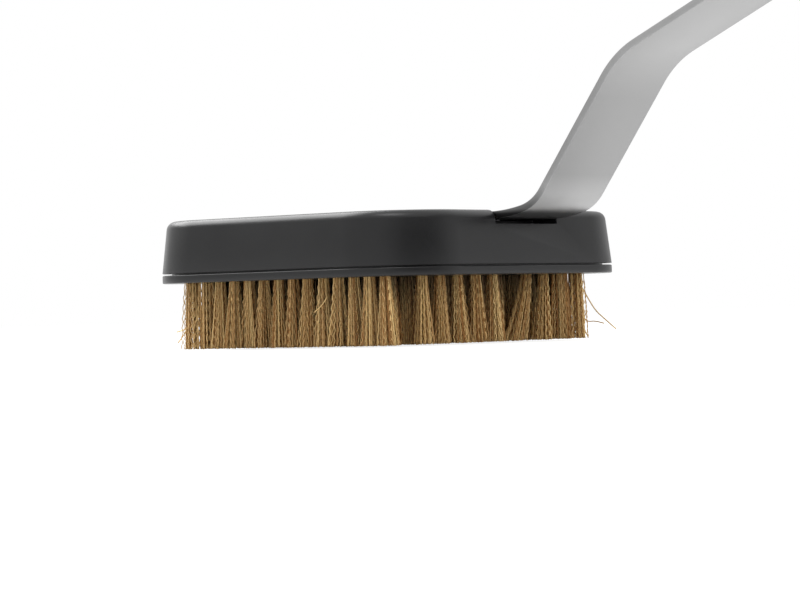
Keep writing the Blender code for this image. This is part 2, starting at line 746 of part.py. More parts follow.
def make_grip_scale(name, side):
    """A scale on the strip's upper side (1) or underside (-1)."""
    shape = bmesh.new()
    foot = shape.faces.new([shape.verts.new((x, y, 0)) for x, y in grip_outline()])
    grown = bmesh.ops.extrude_face_region(shape, geom=[foot])
    raised = [part for part in grown["geom"] if isinstance(part, bmesh.types.BMVert)]
    bmesh.ops.translate(shape, verts=raised, vec=Vector((0, 0, GRIP_THICKNESS)))
    bmesh.ops.recalc_face_normals(shape, faces=shape.faces)
    round_rim(shape, GRIP_THICKNESS, GRIP_EDGE)
    if side < 0:
        bmesh.ops.scale(shape, verts=shape.verts, vec=Vector((1, 1, -1)))
    mesh = finish_mesh(shape, name)
    smooth_round_faces(mesh)
    seat = FIT_GAP if side > 0 else -STRIP_THICKNESS - FIT_GAP
    scale = new_part(name, mesh, BLACK_PLASTIC, HANDLE, (GRIP_FRONT, 0, seat))
    outer = seat + side * GRIP_THICKNESS
    for count, x in enumerate(RIVET_PLACES, 1):
        length = GRIP_THICKNESS + 2 * OVERRUN
        hole = cylinder_mesh("grip_hole", RIVET_RADIUS + FIT_GAP, length)
        bottom = min(seat, outer) - OVERRUN
        cut(scale, new_helper(f"{name}_hole_{count}", hole, HANDLE, (x, 0, bottom)))
        sink = cylinder_mesh("grip_sink", RIVET_HEAD_RADIUS + FIT_GAP, RIVET_SINK + OVERRUN)
        bottom = outer - RIVET_SINK if side > 0 else outer - OVERRUN
        cut(scale, new_helper(f"{name}_sink_{count}", sink, HANDLE, (x, 0, bottom)))
    return scale


def make_rivets():
    """Solid rivets with domed heads at both ends, sunk in the scales."""
    upper = FIT_GAP + GRIP_THICKNESS - RIVET_SINK + FIT_GAP
    lower = -STRIP_THICKNESS - upper
    rise = RIVET_HEAD_HEIGHT / 2
    crown = RIVET_HEAD_RADIUS * DOME_SHARE
    for count, x in enumerate(RIVET_PLACES, 1):
        name = f"grip_rivet_{count}"
        top = upper + RIVET_HEAD_HEIGHT
        bottom = lower - RIVET_HEAD_HEIGHT
        mesh = profile_mesh(
            name,
            ((0, top), (crown, top - rise / 2), (RIVET_HEAD_RADIUS, upper + rise))
            + ((RIVET_HEAD_RADIUS, upper), (RIVET_RADIUS, upper), (RIVET_RADIUS, lower))
            + ((RIVET_HEAD_RADIUS, lower), (RIVET_HEAD_RADIUS, lower - rise))
            + ((crown, bottom + rise / 2), (0, bottom)),
        )
        smooth_round_faces(mesh)
        add_turning(new_part(name, mesh, STAINLESS, HANDLE, (x, 0, 0)))


clear_scene()
PARTS = new_collection("grill_brush")
HELPERS = new_collection("helpers")
BLACK_PLASTIC = new_material("black_plastic", (0.035, 0.035, 0.037), 0.45, 0.0)
BRASS = new_material("brass_wire", (0.60, 0.40, 0.16), 0.35, 1.0)
STAINLESS = new_material("satin_stainless", (0.55, 0.55, 0.55), 0.38, 1.0)
SCREW_STEEL = new_material("screw_steel", (0.45, 0.45, 0.46), 0.35, 1.0)
HEAD = new_empty("head_centre", (head_x(), 0, 0))
HANDLE_X, HANDLE_Z, HANDLE_SLOPE = strip_point(strip_length() - HANDLE_STRAIGHT)
HANDLE = new_empty("handle_axis", (HANDLE_X, 0, HANDLE_Z), HEAD)
HANDLE.rotation_euler = (0, -HANDLE_SLOPE, 0)

make_housing()
make_bristle_plate()
make_bristle_rows()
make_handle_strip()
make_handle_screws()
make_clamp_plate()
make_plate_screws()
make_grip_scale("grip_upper", 1)
make_grip_scale("grip_lower", -1)
make_rivets()
print("head centre x:", round(head_x() / MM, 3), "mm")
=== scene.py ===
# %% [markdown]
# # A grill brush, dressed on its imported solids
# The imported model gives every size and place. This notebook finds them there, makes a
# finer surface for each piece that shows, gives each its finish, and lights the brush as
# a catalogue photographer would. X runs from the head to the grip, Z is up.

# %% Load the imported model
import json
import math

import bmesh
import bpy
from mathutils import Matrix, Vector

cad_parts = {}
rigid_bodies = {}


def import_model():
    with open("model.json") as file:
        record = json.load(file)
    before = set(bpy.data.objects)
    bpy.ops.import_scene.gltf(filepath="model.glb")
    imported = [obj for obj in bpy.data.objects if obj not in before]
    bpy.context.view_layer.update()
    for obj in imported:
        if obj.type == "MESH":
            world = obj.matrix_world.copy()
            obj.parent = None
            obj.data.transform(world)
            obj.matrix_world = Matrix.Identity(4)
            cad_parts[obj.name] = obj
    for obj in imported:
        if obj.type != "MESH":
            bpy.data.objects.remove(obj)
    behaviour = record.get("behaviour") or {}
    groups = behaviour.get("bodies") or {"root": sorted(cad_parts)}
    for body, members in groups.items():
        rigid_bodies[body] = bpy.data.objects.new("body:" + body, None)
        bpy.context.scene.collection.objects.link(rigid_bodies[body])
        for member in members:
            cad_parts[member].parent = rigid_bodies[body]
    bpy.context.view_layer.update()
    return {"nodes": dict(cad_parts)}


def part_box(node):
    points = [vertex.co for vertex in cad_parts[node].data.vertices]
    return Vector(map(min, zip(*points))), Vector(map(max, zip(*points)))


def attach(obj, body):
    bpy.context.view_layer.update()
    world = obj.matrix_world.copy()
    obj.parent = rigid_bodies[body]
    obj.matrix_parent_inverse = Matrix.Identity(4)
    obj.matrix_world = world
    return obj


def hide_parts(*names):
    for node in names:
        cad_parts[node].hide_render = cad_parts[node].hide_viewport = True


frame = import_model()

print("solids to dress:", len(frame["nodes"]))

# %% [markdown]
# All lengths below are in metres. `MM` keeps them readable, and the sizes that the solids
# already have are read from their boxes instead of being typed again.

# %% Units and the sizes read from the solids
MM = 0.001
DEGREE = math.pi / 180

HOUSING_LOW, HOUSING_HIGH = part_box("housing")
PLATE_LOW, PLATE_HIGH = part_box("bristle_plate")
HEAD_X = (HOUSING_LOW.x + HOUSING_HIGH.x) / 2
HEAD_LENGTH = HOUSING_HIGH.x - HOUSING_LOW.x
HEAD_WIDTH = HOUSING_HIGH.y - HOUSING_LOW.y
HOUSING_HEIGHT = HOUSING_HIGH.z - HOUSING_LOW.z
print("head:", [round(v / MM, 1) for v in (HEAD_LENGTH, HEAD_WIDTH, HOUSING_HEIGHT)], "mm")

# %% [markdown]
# ## The camera
# The photograph was taken from almost the height of the bristle tips, about a metre away
# with a long lens, and turned a little. The camera is placed from those facts: where it
# stands beside the head, which way it looks, and how far it is rolled.

# %% Camera
CAMERA_FROM_HEAD = Vector((632.7 * MM, -748.7 * MM, 10.7 * MM))
CAMERA_TURN = 40.0 * DEGREE
CAMERA_RISE = 0.19 * DEGREE
CAMERA_ROLL = -1.529 * DEGREE
FOCAL_PIXELS = 3090
PHOTO_WIDTH = 800
SENSOR_WIDTH = 36
VIEW_END = 20


def add_camera():
    camera_data = bpy.data.cameras.new("photo_camera")
    camera_data.sensor_width = SENSOR_WIDTH
    camera_data.lens = FOCAL_PIXELS / PHOTO_WIDTH * SENSOR_WIDTH
    camera_data.clip_end = VIEW_END
    camera = bpy.data.objects.new("photo_camera", camera_data)
    forward = Vector(
        (
            -math.sin(CAMERA_TURN) * math.cos(CAMERA_RISE),
            math.cos(CAMERA_TURN) * math.cos(CAMERA_RISE),
            math.sin(CAMERA_RISE),
        )
    )
    level_right = Vector((math.cos(CAMERA_TURN), math.sin(CAMERA_TURN), 0))
    level_up = level_right.cross(forward)
    right = math.cos(CAMERA_ROLL) * level_right + math.sin(CAMERA_ROLL) * level_up
    up = right.cross(forward)
    turn = Matrix((right, up, -forward)).transposed()
    place = CAMERA_FROM_HEAD + Vector((HEAD_X, 0, 0))
    camera.matrix_world = Matrix.Translation(place) @ turn.to_4x4()
    bpy.context.scene.collection.objects.link(camera)
    bpy.context.scene.camera = camera
    print("lens:", round(camera_data.lens, 2), "mm")
    return camera


photo_camera = add_camera()

# %% [markdown]
# ## Shared helpers
# Every finished piece is one plain mesh with its place in its vertices. `bake_piece` runs
# an object's modifiers, keeps the result and leaves no live modifier behind.

# %% Mesh helpers
def link(thing):
    bpy.context.scene.collection.objects.link(thing)
    return thing


def object_from(shape, name, outward=True):
    """Ends a bmesh as a linked object with its faces turned outwards."""
    if outward:
        bmesh.ops.recalc_face_normals(shape, faces=shape.faces)
    mesh = bpy.data.meshes.new(name)
    shape.to_mesh(mesh)
    shape.free()
    return link(bpy.data.objects.new(name, mesh))


SHARP_ANGLE = 30 * DEGREE
ALL_SMOOTH = 180 * DEGREE
BEVEL_ABOVE = 40 * DEGREE
FINE_STEPS = 3


def bake_piece(source, name, sharp_angle=SHARP_ANGLE):
    """A plain object made of what the source's modifiers give."""
    depsgraph = bpy.context.evaluated_depsgraph_get()
    mesh = bpy.data.meshes.new_from_object(source.evaluated_get(depsgraph))
    mesh.transform(source.matrix_world)
    mesh.name = name
    mesh.shade_smooth()
    mesh.set_sharp_from_angle(angle=sharp_angle)
    for modifier in list(source.modifiers):
        source.modifiers.remove(modifier)
    bpy.data.objects.remove(source, do_unlink=True)
    return link(bpy.data.objects.new(name, mesh))


def cut_with(piece, *cutters):
    for cutter in cutters:
        modifier = piece.modifiers.new("cut", "BOOLEAN")
        modifier.object = cutter
        modifier.operation = "DIFFERENCE"
        modifier.solver = "EXACT"


def discard(*things):
    for thing in things:
        bpy.data.objects.remove(thing, do_unlink=True)


def round_edges(piece, width):
    bevel = piece.modifiers.new("rounded edges", "BEVEL")
    bevel.width = width
    bevel.segments = FINE_STEPS
    bevel.limit_method = "ANGLE"
    bevel.angle_limit = BEVEL_ABOVE
    bevel.harden_normals = False


def dress(piece, material, slot_name, *nodes):
    """The piece takes its material, rides with the brush and stands for those solids."""
    piece.data.materials.clear()
    piece.data.materials.append(material)
    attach(piece, "root")
    if nodes:
        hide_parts(*nodes)
    print(piece.name, len(piece.data.polygons), "faces")
    return piece


# %% [markdown]
# ## Finishes
# One effect serves both the plastic and the steel, so it is a node group: a fine even
# grain, with soft clouds over it. It reads Object coordinates, so it stays at its real
# size on every piece.

# %% Group: fine grain
def make_fine_grain():
    """Height and clouds of a fine grain, as on moulded plastic or tumbled steel."""
    group = bpy.data.node_groups.new("fine_grain", "ShaderNodeTree")
    for label in ("Grain per metre", "Cloud per metre"):
        group.interface.new_socket(label, in_out="INPUT", socket_type="NodeSocketFloat")
    for label in ("Height", "Clouds"):
        group.interface.new_socket(label, in_out="OUTPUT", socket_type="NodeSocketFloat")
    given = group.nodes.new("NodeGroupInput")
    out = group.nodes.new("NodeGroupOutput")
    place = group.nodes.new("ShaderNodeTexCoord").outputs["Object"]
    noises = (("Grain per metre", 2.0, "Height"), ("Cloud per metre", 4.0, "Clouds"))
    for scale, detail, result in noises:
        noise = group.nodes.new("ShaderNodeTexNoise")
        noise.inputs["Detail"].default_value = detail
        group.links.new(place, noise.inputs["Vector"])
        group.links.new(given.outputs[scale], noise.inputs["Scale"])
        group.links.new(noise.outputs["Fac"], out.inputs[result])
    return group


FINE_GRAIN = make_fine_grain()
print("node group:", FINE_GRAIN.name)

# %% [markdown]
# The black parts are moulded plastic with a spark-eroded, satin face. Its colour hardly
# changes, but its roughness drifts a little in soft clouds, and a fine grain breaks up
# the reflections.

# %% Material helpers
def new_material(name):
    material = bpy.data.materials.new(name)
    material.use_nodes = True
    tree = material.node_tree
    return material, tree, tree.nodes["Principled BSDF"]


def place_grain(tree, grain_per_metre, cloud_per_metre):
    node = tree.nodes.new("ShaderNodeGroup")
    node.node_tree = FINE_GRAIN
    node.inputs["Grain per metre"].default_value = grain_per_metre
    node.inputs["Cloud per metre"].default_value = cloud_per_metre
    return node


def add_math(tree, operation, first, second=None):
    node = tree.nodes.new("ShaderNodeMath")
    node.operation = operation
    for socket, value in zip(node.inputs, (first, second)):
        if isinstance(value, (int, float)):
            socket.default_value = value
        elif value is not None:
            tree.links.new(value, socket)
    return node.outputs[0]


def map_range(tree, value, low, high, from_low=0.3, from_high=0.7):
    """Noise lies mostly between 0.3 and 0.7, so that is the range it starts from."""
    node = tree.nodes.new("ShaderNodeMapRange")
    node.inputs["From Min"].default_value = from_low
    node.inputs["From Max"].default_value = from_high
    node.inputs["To Min"].default_value = low
    node.inputs["To Max"].default_value = high
    tree.links.new(value, node.inputs["Value"])
    return node.outputs["Result"]


def bump(tree, shader, height, distance):
    node = tree.nodes.new("ShaderNodeBump")
    node.inputs["Distance"].default_value = distance
    tree.links.new(height, node.inputs["Height"])
    tree.links.new(node.outputs["Normal"], shader.inputs["Normal"])


def blend_colors(tree, share, first, second):
    node = tree.nodes.new("ShaderNodeMix")
    node.data_type = "RGBA"
    node.inputs["A"].default_value = (*first, 1)
    node.inputs["B"].default_value = (*second, 1)
    tree.links.new(share, node.inputs["Factor"])
    return node.outputs["Result"]


# %% Black plastic
PLASTIC_DARK = (0.005, 0.005, 0.0055)
PLASTIC_LIGHT = (0.008, 0.008, 0.0085)
PLASTIC_ROUGHNESS = (0.28, 0.35)
PLASTIC_RELIEF = 0.02 * MM


def make_black_plastic():
    material, tree, shader = new_material("moulded_black_plastic")
    grain = place_grain(tree, grain_per_metre=1900.0, cloud_per_metre=55.0)
    clouds = grain.outputs["Clouds"]
    color = blend_colors(tree, clouds, PLASTIC_DARK, PLASTIC_LIGHT)
    tree.links.new(color, shader.inputs["Base Color"])
    tree.links.new(map_range(tree, clouds, *PLASTIC_ROUGHNESS), shader.inputs["Roughness"])
    bump(tree, shader, grain.outputs["Height"], PLASTIC_RELIEF)
    return material


BLACK_PLASTIC = make_black_plastic()
print("material:", BLACK_PLASTIC.name)

# %% [markdown]
# The handle strip is stainless sheet with a satin, tumbled finish: no long brush lines,
# but a fine cloudy grain that turns its reflections into one soft grey.

# %% Satin stainless steel
STEEL_DARK = (0.46, 0.46, 0.46)
STEEL_LIGHT = (0.53, 0.53, 0.53)
STEEL_ROUGHNESS = (0.34, 0.42)
STEEL_RELIEF = 0.01 * MM
SCREW_DARK = (0.40, 0.40, 0.41)
SCREW_LIGHT = (0.48, 0.48, 0.49)
SCREW_ROUGHNESS = (0.28, 0.36)


def make_satin_steel(name, dark, light, roughness):
    material, tree, shader = new_material(name)
    shader.inputs["Metallic"].default_value = 1.0
    grain = place_grain(tree, grain_per_metre=1400.0, cloud_per_metre=90.0)
    clouds = grain.outputs["Clouds"]
    color = blend_colors(tree, clouds, dark, light)
    tree.links.new(color, shader.inputs["Base Color"])
    tree.links.new(map_range(tree, clouds, *roughness), shader.inputs["Roughness"])
    bump(tree, shader, grain.outputs["Height"], STEEL_RELIEF)
    return material


SCREW_STEEL = make_satin_steel("turned_screw_steel", SCREW_DARK, SCREW_LIGHT, SCREW_ROUGHNESS)

# %% [markdown]
# The strip's greys change along it, and here they are painted into the steel's colour as shares
# that change with the height and, for the edges, with the way a face looks: painted shade
# almost black where it leaves the head, a painted bright reflection in the lower bend, painted
# shade on the sheared edges near the head, where they mirror the black housing, and a little
# painted shade on the lower part of the strip. The values were fitted to the greys of the
# photograph.

# %% Painted shade and reflection along the strip
# Shares of the steel's colour: painted shade at the root, on the lower part and on the edges
# near the head, and a painted bright reflection in the bend.
FACE_PAINTED_SHADE, FACE_HEIGHTS = 0.84, (72.0 * MM, 84.0 * MM)
ROOT_PAINTED_SHADE, ROOT_HEIGHTS = 0.2, (38.9 * MM, 40.1 * MM)
BEND_PAINTED_REFLECTION, BEND_HEIGHTS = 1.5, (40.2 * MM, 50.0 * MM)
EDGE_PAINTED_SHADE, EDGE_HEIGHTS = 0.36, (41.0 * MM, 47.0 * MM)


def paint_shade_and_reflection_by_height(material):
    """Paints shade and a bright reflection into a steel's colour, as shares that end at 1 at
    the upper heights.
    """
    tree = material.node_tree
    shader = tree.nodes["Principled BSDF"]
    color = shader.inputs["Base Color"].links[0].from_socket
    place = tree.nodes.new("ShaderNodeSeparateXYZ")
    tree.links.new(tree.nodes.new("ShaderNodeTexCoord").outputs["Object"], place.inputs[0])
    facing = tree.nodes.new("ShaderNodeSeparateXYZ")
    tree.links.new(tree.nodes.new("ShaderNodeNewGeometry").outputs["Normal"], facing.inputs[0])
    height = place.outputs["Z"]
    # Painted shade and painted reflection by height; the edges' share acts only on faces that
    # look sideways.
    face = map_range(tree, height, FACE_PAINTED_SHADE, 1.0, *FACE_HEIGHTS)
    root = map_range(tree, height, ROOT_PAINTED_SHADE, 1.0, *ROOT_HEIGHTS)
    bend = map_range(tree, height, BEND_PAINTED_REFLECTION, 1.0, *BEND_HEIGHTS)
    edge = map_range(tree, height, EDGE_PAINTED_SHADE, 1.0, *EDGE_HEIGHTS)
    side = add_math(tree, "ABSOLUTE", facing.outputs["Y"])
    plain = add_math(tree, "SUBTRACT", 1.0, side)
    edge = add_math(tree, "ADD", add_math(tree, "MULTIPLY", side, edge), plain)
    face = add_math(tree, "MULTIPLY", face, add_math(tree, "MULTIPLY", root, bend))
    shade = tree.nodes.new("ShaderNodeVectorMath")
    shade.operation = "SCALE"
    tree.links.new(color, shade.inputs[0])
    tree.links.new(add_math(tree, "MULTIPLY", face, edge), shade.inputs["Scale"])
    tree.links.new(shade.outputs[0], shader.inputs["Base Color"])
    return material


SATIN_STEEL = paint_shade_and_reflection_by_height(
    make_satin_steel("satin_stainless", STEEL_DARK, STEEL_LIGHT, STEEL_ROUGHNESS)
)
print("materials:", SCREW_STEEL.name, SATIN_STEEL.name)

# %% [markdown]
# Each brass wire has its own tint, from pale yellow to brown, as drawn wire has after it is
# crimped and handled. Deep between the tufts the photograph is much darker, so the inner wires
# also have a painted shade near their roots, with a value that was fitted to it.
# Geometry Nodes stores both on the wires further down, and the brass reads them here as
# attributes.

# %% Brass wire
BRASS_BROWN = (0.38, 0.165, 0.045)
BRASS_GOLD = (1.0, 0.73, 0.33)
# The dark colour that painted shade draws the inner wires' roots towards, and how far.
BRASS_PAINTED_SHADE = (0.05, 0.03, 0.02)
PAINTED_SHADE_SHARE = 0.85
BRASS_METALLIC = 0.5
BRASS_ROUGHNESS = 0.34


def read_attribute(tree, label):
    node = tree.nodes.new("ShaderNodeAttribute")
    node.attribute_name = label
    return node.outputs["Fac"]


def make_brass_wire():
    material, tree, shader = new_material("crimped_brass_wire")
    shader.inputs["Metallic"].default_value = BRASS_METALLIC
    shader.inputs["Roughness"].default_value = BRASS_ROUGHNESS
    clean = blend_colors(tree, read_attribute(tree, "wire_tint"), BRASS_BROWN, BRASS_GOLD)
    # Painted shade: the inner wires darken towards a near-black brown at their roots.
    share = add_math(tree, "MULTIPLY", read_attribute(tree, "wire_painted_shade"), PAINTED_SHADE_SHARE)
    color = blend_colors(tree, share, BRASS_BROWN, BRASS_PAINTED_SHADE)
    tree.links.new(clean, color.node.inputs["A"])
    tree.links.new(color, shader.inputs["Base Color"])
    return material


BRASS = make_brass_wire()
print("material:", BRASS.name)

# %% [markdown]
# ## The head
# The housing is a shallow moulded cover. Its outline has large round corners, its walls
# lean in a little so that it leaves the mould, and its top edge is rounded. It starts as
# a box whose upright edges are bevelled, because that keeps the walls flat between the
# corners, as they are on the real cover.

# %% Head outline sizes
HEAD_CORNER = 25.4 * MM
HOUSING_LEAN = 1.6 * MM
HOUSING_EDGE = 2.5 * MM
HOUSING_WALL = 2.2 * MM
CORNER_STEPS = 32
EDGE_STEPS = 8
MERGE = 0.001 * MM


def rounded_slab(length, width, height, corner):
    """A flat block on the plane z = 0 with its upright edges rounded."""
    shape = bmesh.new()
    size = Matrix.Diagonal((length, width, height, 1))
    bmesh.ops.create_cube(shape, size=1, matrix=Matrix.Translation((0, 0, height / 2)) @ size)
    upright = [e for e in shape.edges if abs(e.verts[0].co.z - e.verts[1].co.z) > height / 2]
    round_bevel(shape, upright, corner, CORNER_STEPS)
    return shape


def round_bevel(shape, edges, radius, steps):
    bmesh.ops.bevel(
        shape, geom=edges, offset=radius, segments=steps, profile=0.5, affect="EDGES"
    )


def level_edges(shape, height):
    """The edges at one height that border a wall."""
    shape.normal_update()
    level = [e for e in shape.edges if all(abs(v.co.z - height) < MERGE for v in e.verts)]
    return [e for e in level if any(abs(f.normal.z) < 0.5 for f in e.link_faces)]


def round_level(shape, height, radius, steps):
    round_bevel(shape, level_edges(shape, height), radius, steps)


def block(name, low, high):
    """A plain box between two corners, for cutting."""
    shape = bmesh.new()
    size = Vector(high) - Vector(low)
    middle = (Vector(high) + Vector(low)) / 2
    place = Matrix.Translation(middle) @ Matrix.Diagonal((*size, 1))
    bmesh.ops.create_cube(shape, size=1, matrix=place)
    return object_from(shape, name)


# %% [markdown]
# The strip lies in a bed in the housing's top. The bed is open at the back, where it
# gets deeper, so that a dark slot shows under the strip as it leaves the head.

# %% Housing
STRIP_LOW, STRIP_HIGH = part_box("handle_strip")
STRIP_WIDTH = STRIP_HIGH.y - STRIP_LOW.y
STRIP_THICKNESS = 2.2 * MM
STRIP_DROP = 0.55 * MM
STRIP_TOP = HOUSING_HIGH.z - STRIP_DROP
FIT_GAP = 0.3 * MM
BED_FLOOR = STRIP_TOP - STRIP_THICKNESS - FIT_GAP
BED_ROOF = 2.2 * MM
NOTCH_DEPTH = 4.25 * MM
NOTCH_LENGTH = 10.5 * MM
PAD_RIM = 3.0 * MM
BED_EDGE = 0.25 * MM
OVERRUN = 2.0 * MM


def make_housing():
    shape = rounded_slab(HEAD_LENGTH, HEAD_WIDTH, HOUSING_HEIGHT, HEAD_CORNER)
    for vert in shape.verts:
        if vert.co.z > HOUSING_HEIGHT / 2:
            vert.co.x *= 1 - 2 * HOUSING_LEAN / HEAD_LENGTH
            vert.co.y *= 1 - 2 * HOUSING_LEAN / HEAD_WIDTH
    round_level(shape, HOUSING_HEIGHT, HOUSING_EDGE, EDGE_STEPS)
    bmesh.ops.translate(shape, verts=shape.verts, vec=(HEAD_X, 0, HOUSING_LOW.z))
    cover = object_from(shape, "cover")
    inside = rounded_slab(
        HEAD_LENGTH - 2 * (HOUSING_WALL + HOUSING_LEAN),
        HEAD_WIDTH - 2 * (HOUSING_WALL + HOUSING_LEAN),
        HOUSING_HEIGHT - HOUSING_WALL + OVERRUN,
        HEAD_CORNER - HOUSING_WALL,
    )
    bmesh.ops.translate(inside, verts=inside.verts, vec=(HEAD_X, 0, HOUSING_LOW.z - OVERRUN))
    hollow = object_from(inside, "hollow")
    root = STRIP_LOW.x - FIT_GAP
    half = STRIP_WIDTH / 2 + FIT_GAP
    back = HOUSING_HIGH.x + OVERRUN
    top = HOUSING_HIGH.z + OVERRUN
    pad_low = (root - PAD_RIM, -half - PAD_RIM, BED_FLOOR - BED_ROOF)
    pad_high = (HOUSING_HIGH.x - HOUSING_WALL - HOUSING_LEAN, half + PAD_RIM, top)
    pad = block("pad", pad_low, pad_high)
    bed = block("bed", (root, -half, BED_FLOOR), (back, half, top))
    notch_low = (HOUSING_HIGH.x - NOTCH_LENGTH, -half, HOUSING_HIGH.z - NOTCH_DEPTH)
    notch = block("notch", notch_low, (back, half, top))
    cut_with(hollow, pad)
    cut_with(cover, hollow, bed, notch)
    round_edges(cover, BED_EDGE)
    cover = bake_piece(cover, "housing_cover")
    discard(hollow, pad, bed, notch)
    return dress(cover, BLACK_PLASTIC, "black_plastic", "housing")


housing_cover = make_housing()

# %% [markdown]
# ## The bristle plate
# A thin plate of the same outline closes the cover, with a shadow gap between the two. A
# block on its back fills the cover's mouth. The tufts stand in blind holes, drilled in
# a rectangular grid, and the grid is written down once here, for the holes and the tufts.

# %% Tuft grid
ROWS = 14
COLUMNS = 12
FIRST_COLUMN_INSET = 11.7 * MM
COLUMN_PITCH = (HEAD_WIDTH - 2 * FIRST_COLUMN_INSET) / (COLUMNS - 1)
EMPTY_HOLES = ((13, 1), (13, 7))
HOLE_RADIUS = 2.45 * MM
HOLE_DEPTH = 1.6 * MM
PLATE_FACE = PLATE_LOW.z


def row_place(row):
    low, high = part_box(f"bristle_row_{row + 1:02d}")
    return (low.x + high.x) / 2


ROW_PLACES = [row_place(row) for row in range(ROWS)]


def hole_place(row, column):
    y = (column - (COLUMNS - 1) / 2) * COLUMN_PITCH
    return Vector((ROW_PLACES[row], y, PLATE_FACE))


HOLES = [(row, column) for row in range(ROWS) for column in range(COLUMNS)]
TUFTS = [hole for hole in HOLES if hole not in EMPTY_HOLES]
print("holes:", len(HOLES), "tufts:", len(TUFTS))

# %% [markdown]
# The holes and the screw wells are all plain cylinders, so one helper makes the cutters
# for them, and for the strip and the grip later on.

# %% Cylinders for cutting
TURNED_SIDES = 64


def add_cylinder(shape, radius, depth, place, sides):
    bmesh.ops.create_cone(
        shape,
        cap_ends=True,
        segments=sides,
        radius1=radius,
        radius2=radius,
        depth=depth,
        matrix=place,
    )


def cylinder(name, radius, depth, place, sides=TURNED_SIDES):
    shape = bmesh.new()
    add_cylinder(shape, radius, depth, place, sides)
    return object_from(shape, name)


# %% Bristle plate
FLANGE_THICKNESS = 2.55 * MM
FLANGE_EDGE = 0.35 * MM
BLOCK_INSET = 3.0 * MM
HOLE_SIDES = 16
WELL_SIDES = 40


def make_hole_cutters():
    shape = bmesh.new()
    for row, column in HOLES:
        place = hole_place(row, column) + Vector((0, 0, HOLE_DEPTH / 2 - OVERRUN / 2))
        depth = HOLE_DEPTH + OVERRUN
        add_cylinder(shape, HOLE_RADIUS, depth, Matrix.Translation(place), HOLE_SIDES)
    return object_from(shape, "hole_cutters")


def screw_well(count):
    low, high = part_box(f"plate_screw_{count}")
    radius = (high.x - low.x) / 2 + FIT_GAP
    place = Matrix.Translation(((low.x + high.x) / 2, (low.y + high.y) / 2, PLATE_FACE))
    depth = 2 * (FLANGE_THICKNESS + OVERRUN)
    return cylinder(f"screw_well_{count}", radius, depth, place, WELL_SIDES)


def make_plate():
    flange = rounded_slab(HEAD_LENGTH, HEAD_WIDTH, FLANGE_THICKNESS, HEAD_CORNER)
    for height in (0, FLANGE_THICKNESS):
        round_level(flange, height, FLANGE_EDGE, FINE_STEPS)
    bmesh.ops.translate(flange, verts=flange.verts, vec=(HEAD_X, 0, PLATE_FACE))
    plate = object_from(flange, "plate")
    cutters = [make_hole_cutters()] + [screw_well(count) for count in range(1, 5)]
    cut_with(plate, *cutters)
    plate = bake_piece(plate, "bristle_plate_face")
    discard(*cutters)
    return dress(plate, BLACK_PLASTIC, "black_plastic")


def make_plate_block():
    length, width = HEAD_LENGTH - 2 * BLOCK_INSET, HEAD_WIDTH - 2 * BLOCK_INSET
    height = PLATE_HIGH.z - PLATE_FACE - FLANGE_THICKNESS
    shape = rounded_slab(length, width, height, HEAD_CORNER - BLOCK_INSET)
    bottom = PLATE_FACE + FLANGE_THICKNESS
    bmesh.ops.translate(shape, verts=shape.verts, vec=(HEAD_X, 0, bottom))
    body = object_from(shape, "body")
    return dress(bake_piece(body, "bristle_plate_block"), BLACK_PLASTIC, "black_plastic")


bristle_plate_face = make_plate()
bristle_plate_block = make_plate_block()
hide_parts("bristle_plate")

# %% [markdown]
# ## The bristles
# A tuft is a pinch of crimped brass wires, tight in its hole and open at its tip. Each row
# is one Geometry Nodes object: its points are the tufts, every tuft is duplicated into
# wires, every wire is a short line, and the line is then fanned, crimped and made round.

# %% Wire sizes
WIRES_PER_TUFT = 80
WIRE_RADIUS = 0.15 * MM
WIRE_POINTS = 24
TIP_SPREAD = 3.5 * MM
CRIMP_SIZE = 0.27 * MM
CRIMP_WAVES = 7.0
TIP_SHORTFALL = 0.3 * MM
SINK = 1.2 * MM
WIRE_SIDES = 3
SWING = (0.6, 1.2)
CRIMP_SHARE = (0.5, 1.3)
CRIMP_GROWTH = 4.0
PAINTED_SHADE_FADE = 1.4
SEED = 11
print("wires:", WIRES_PER_TUFT * len(TUFTS))

# %% [markdown]
# A tree is easier to read when each step is one short line, so two small helpers add a
# node and feed its sockets.

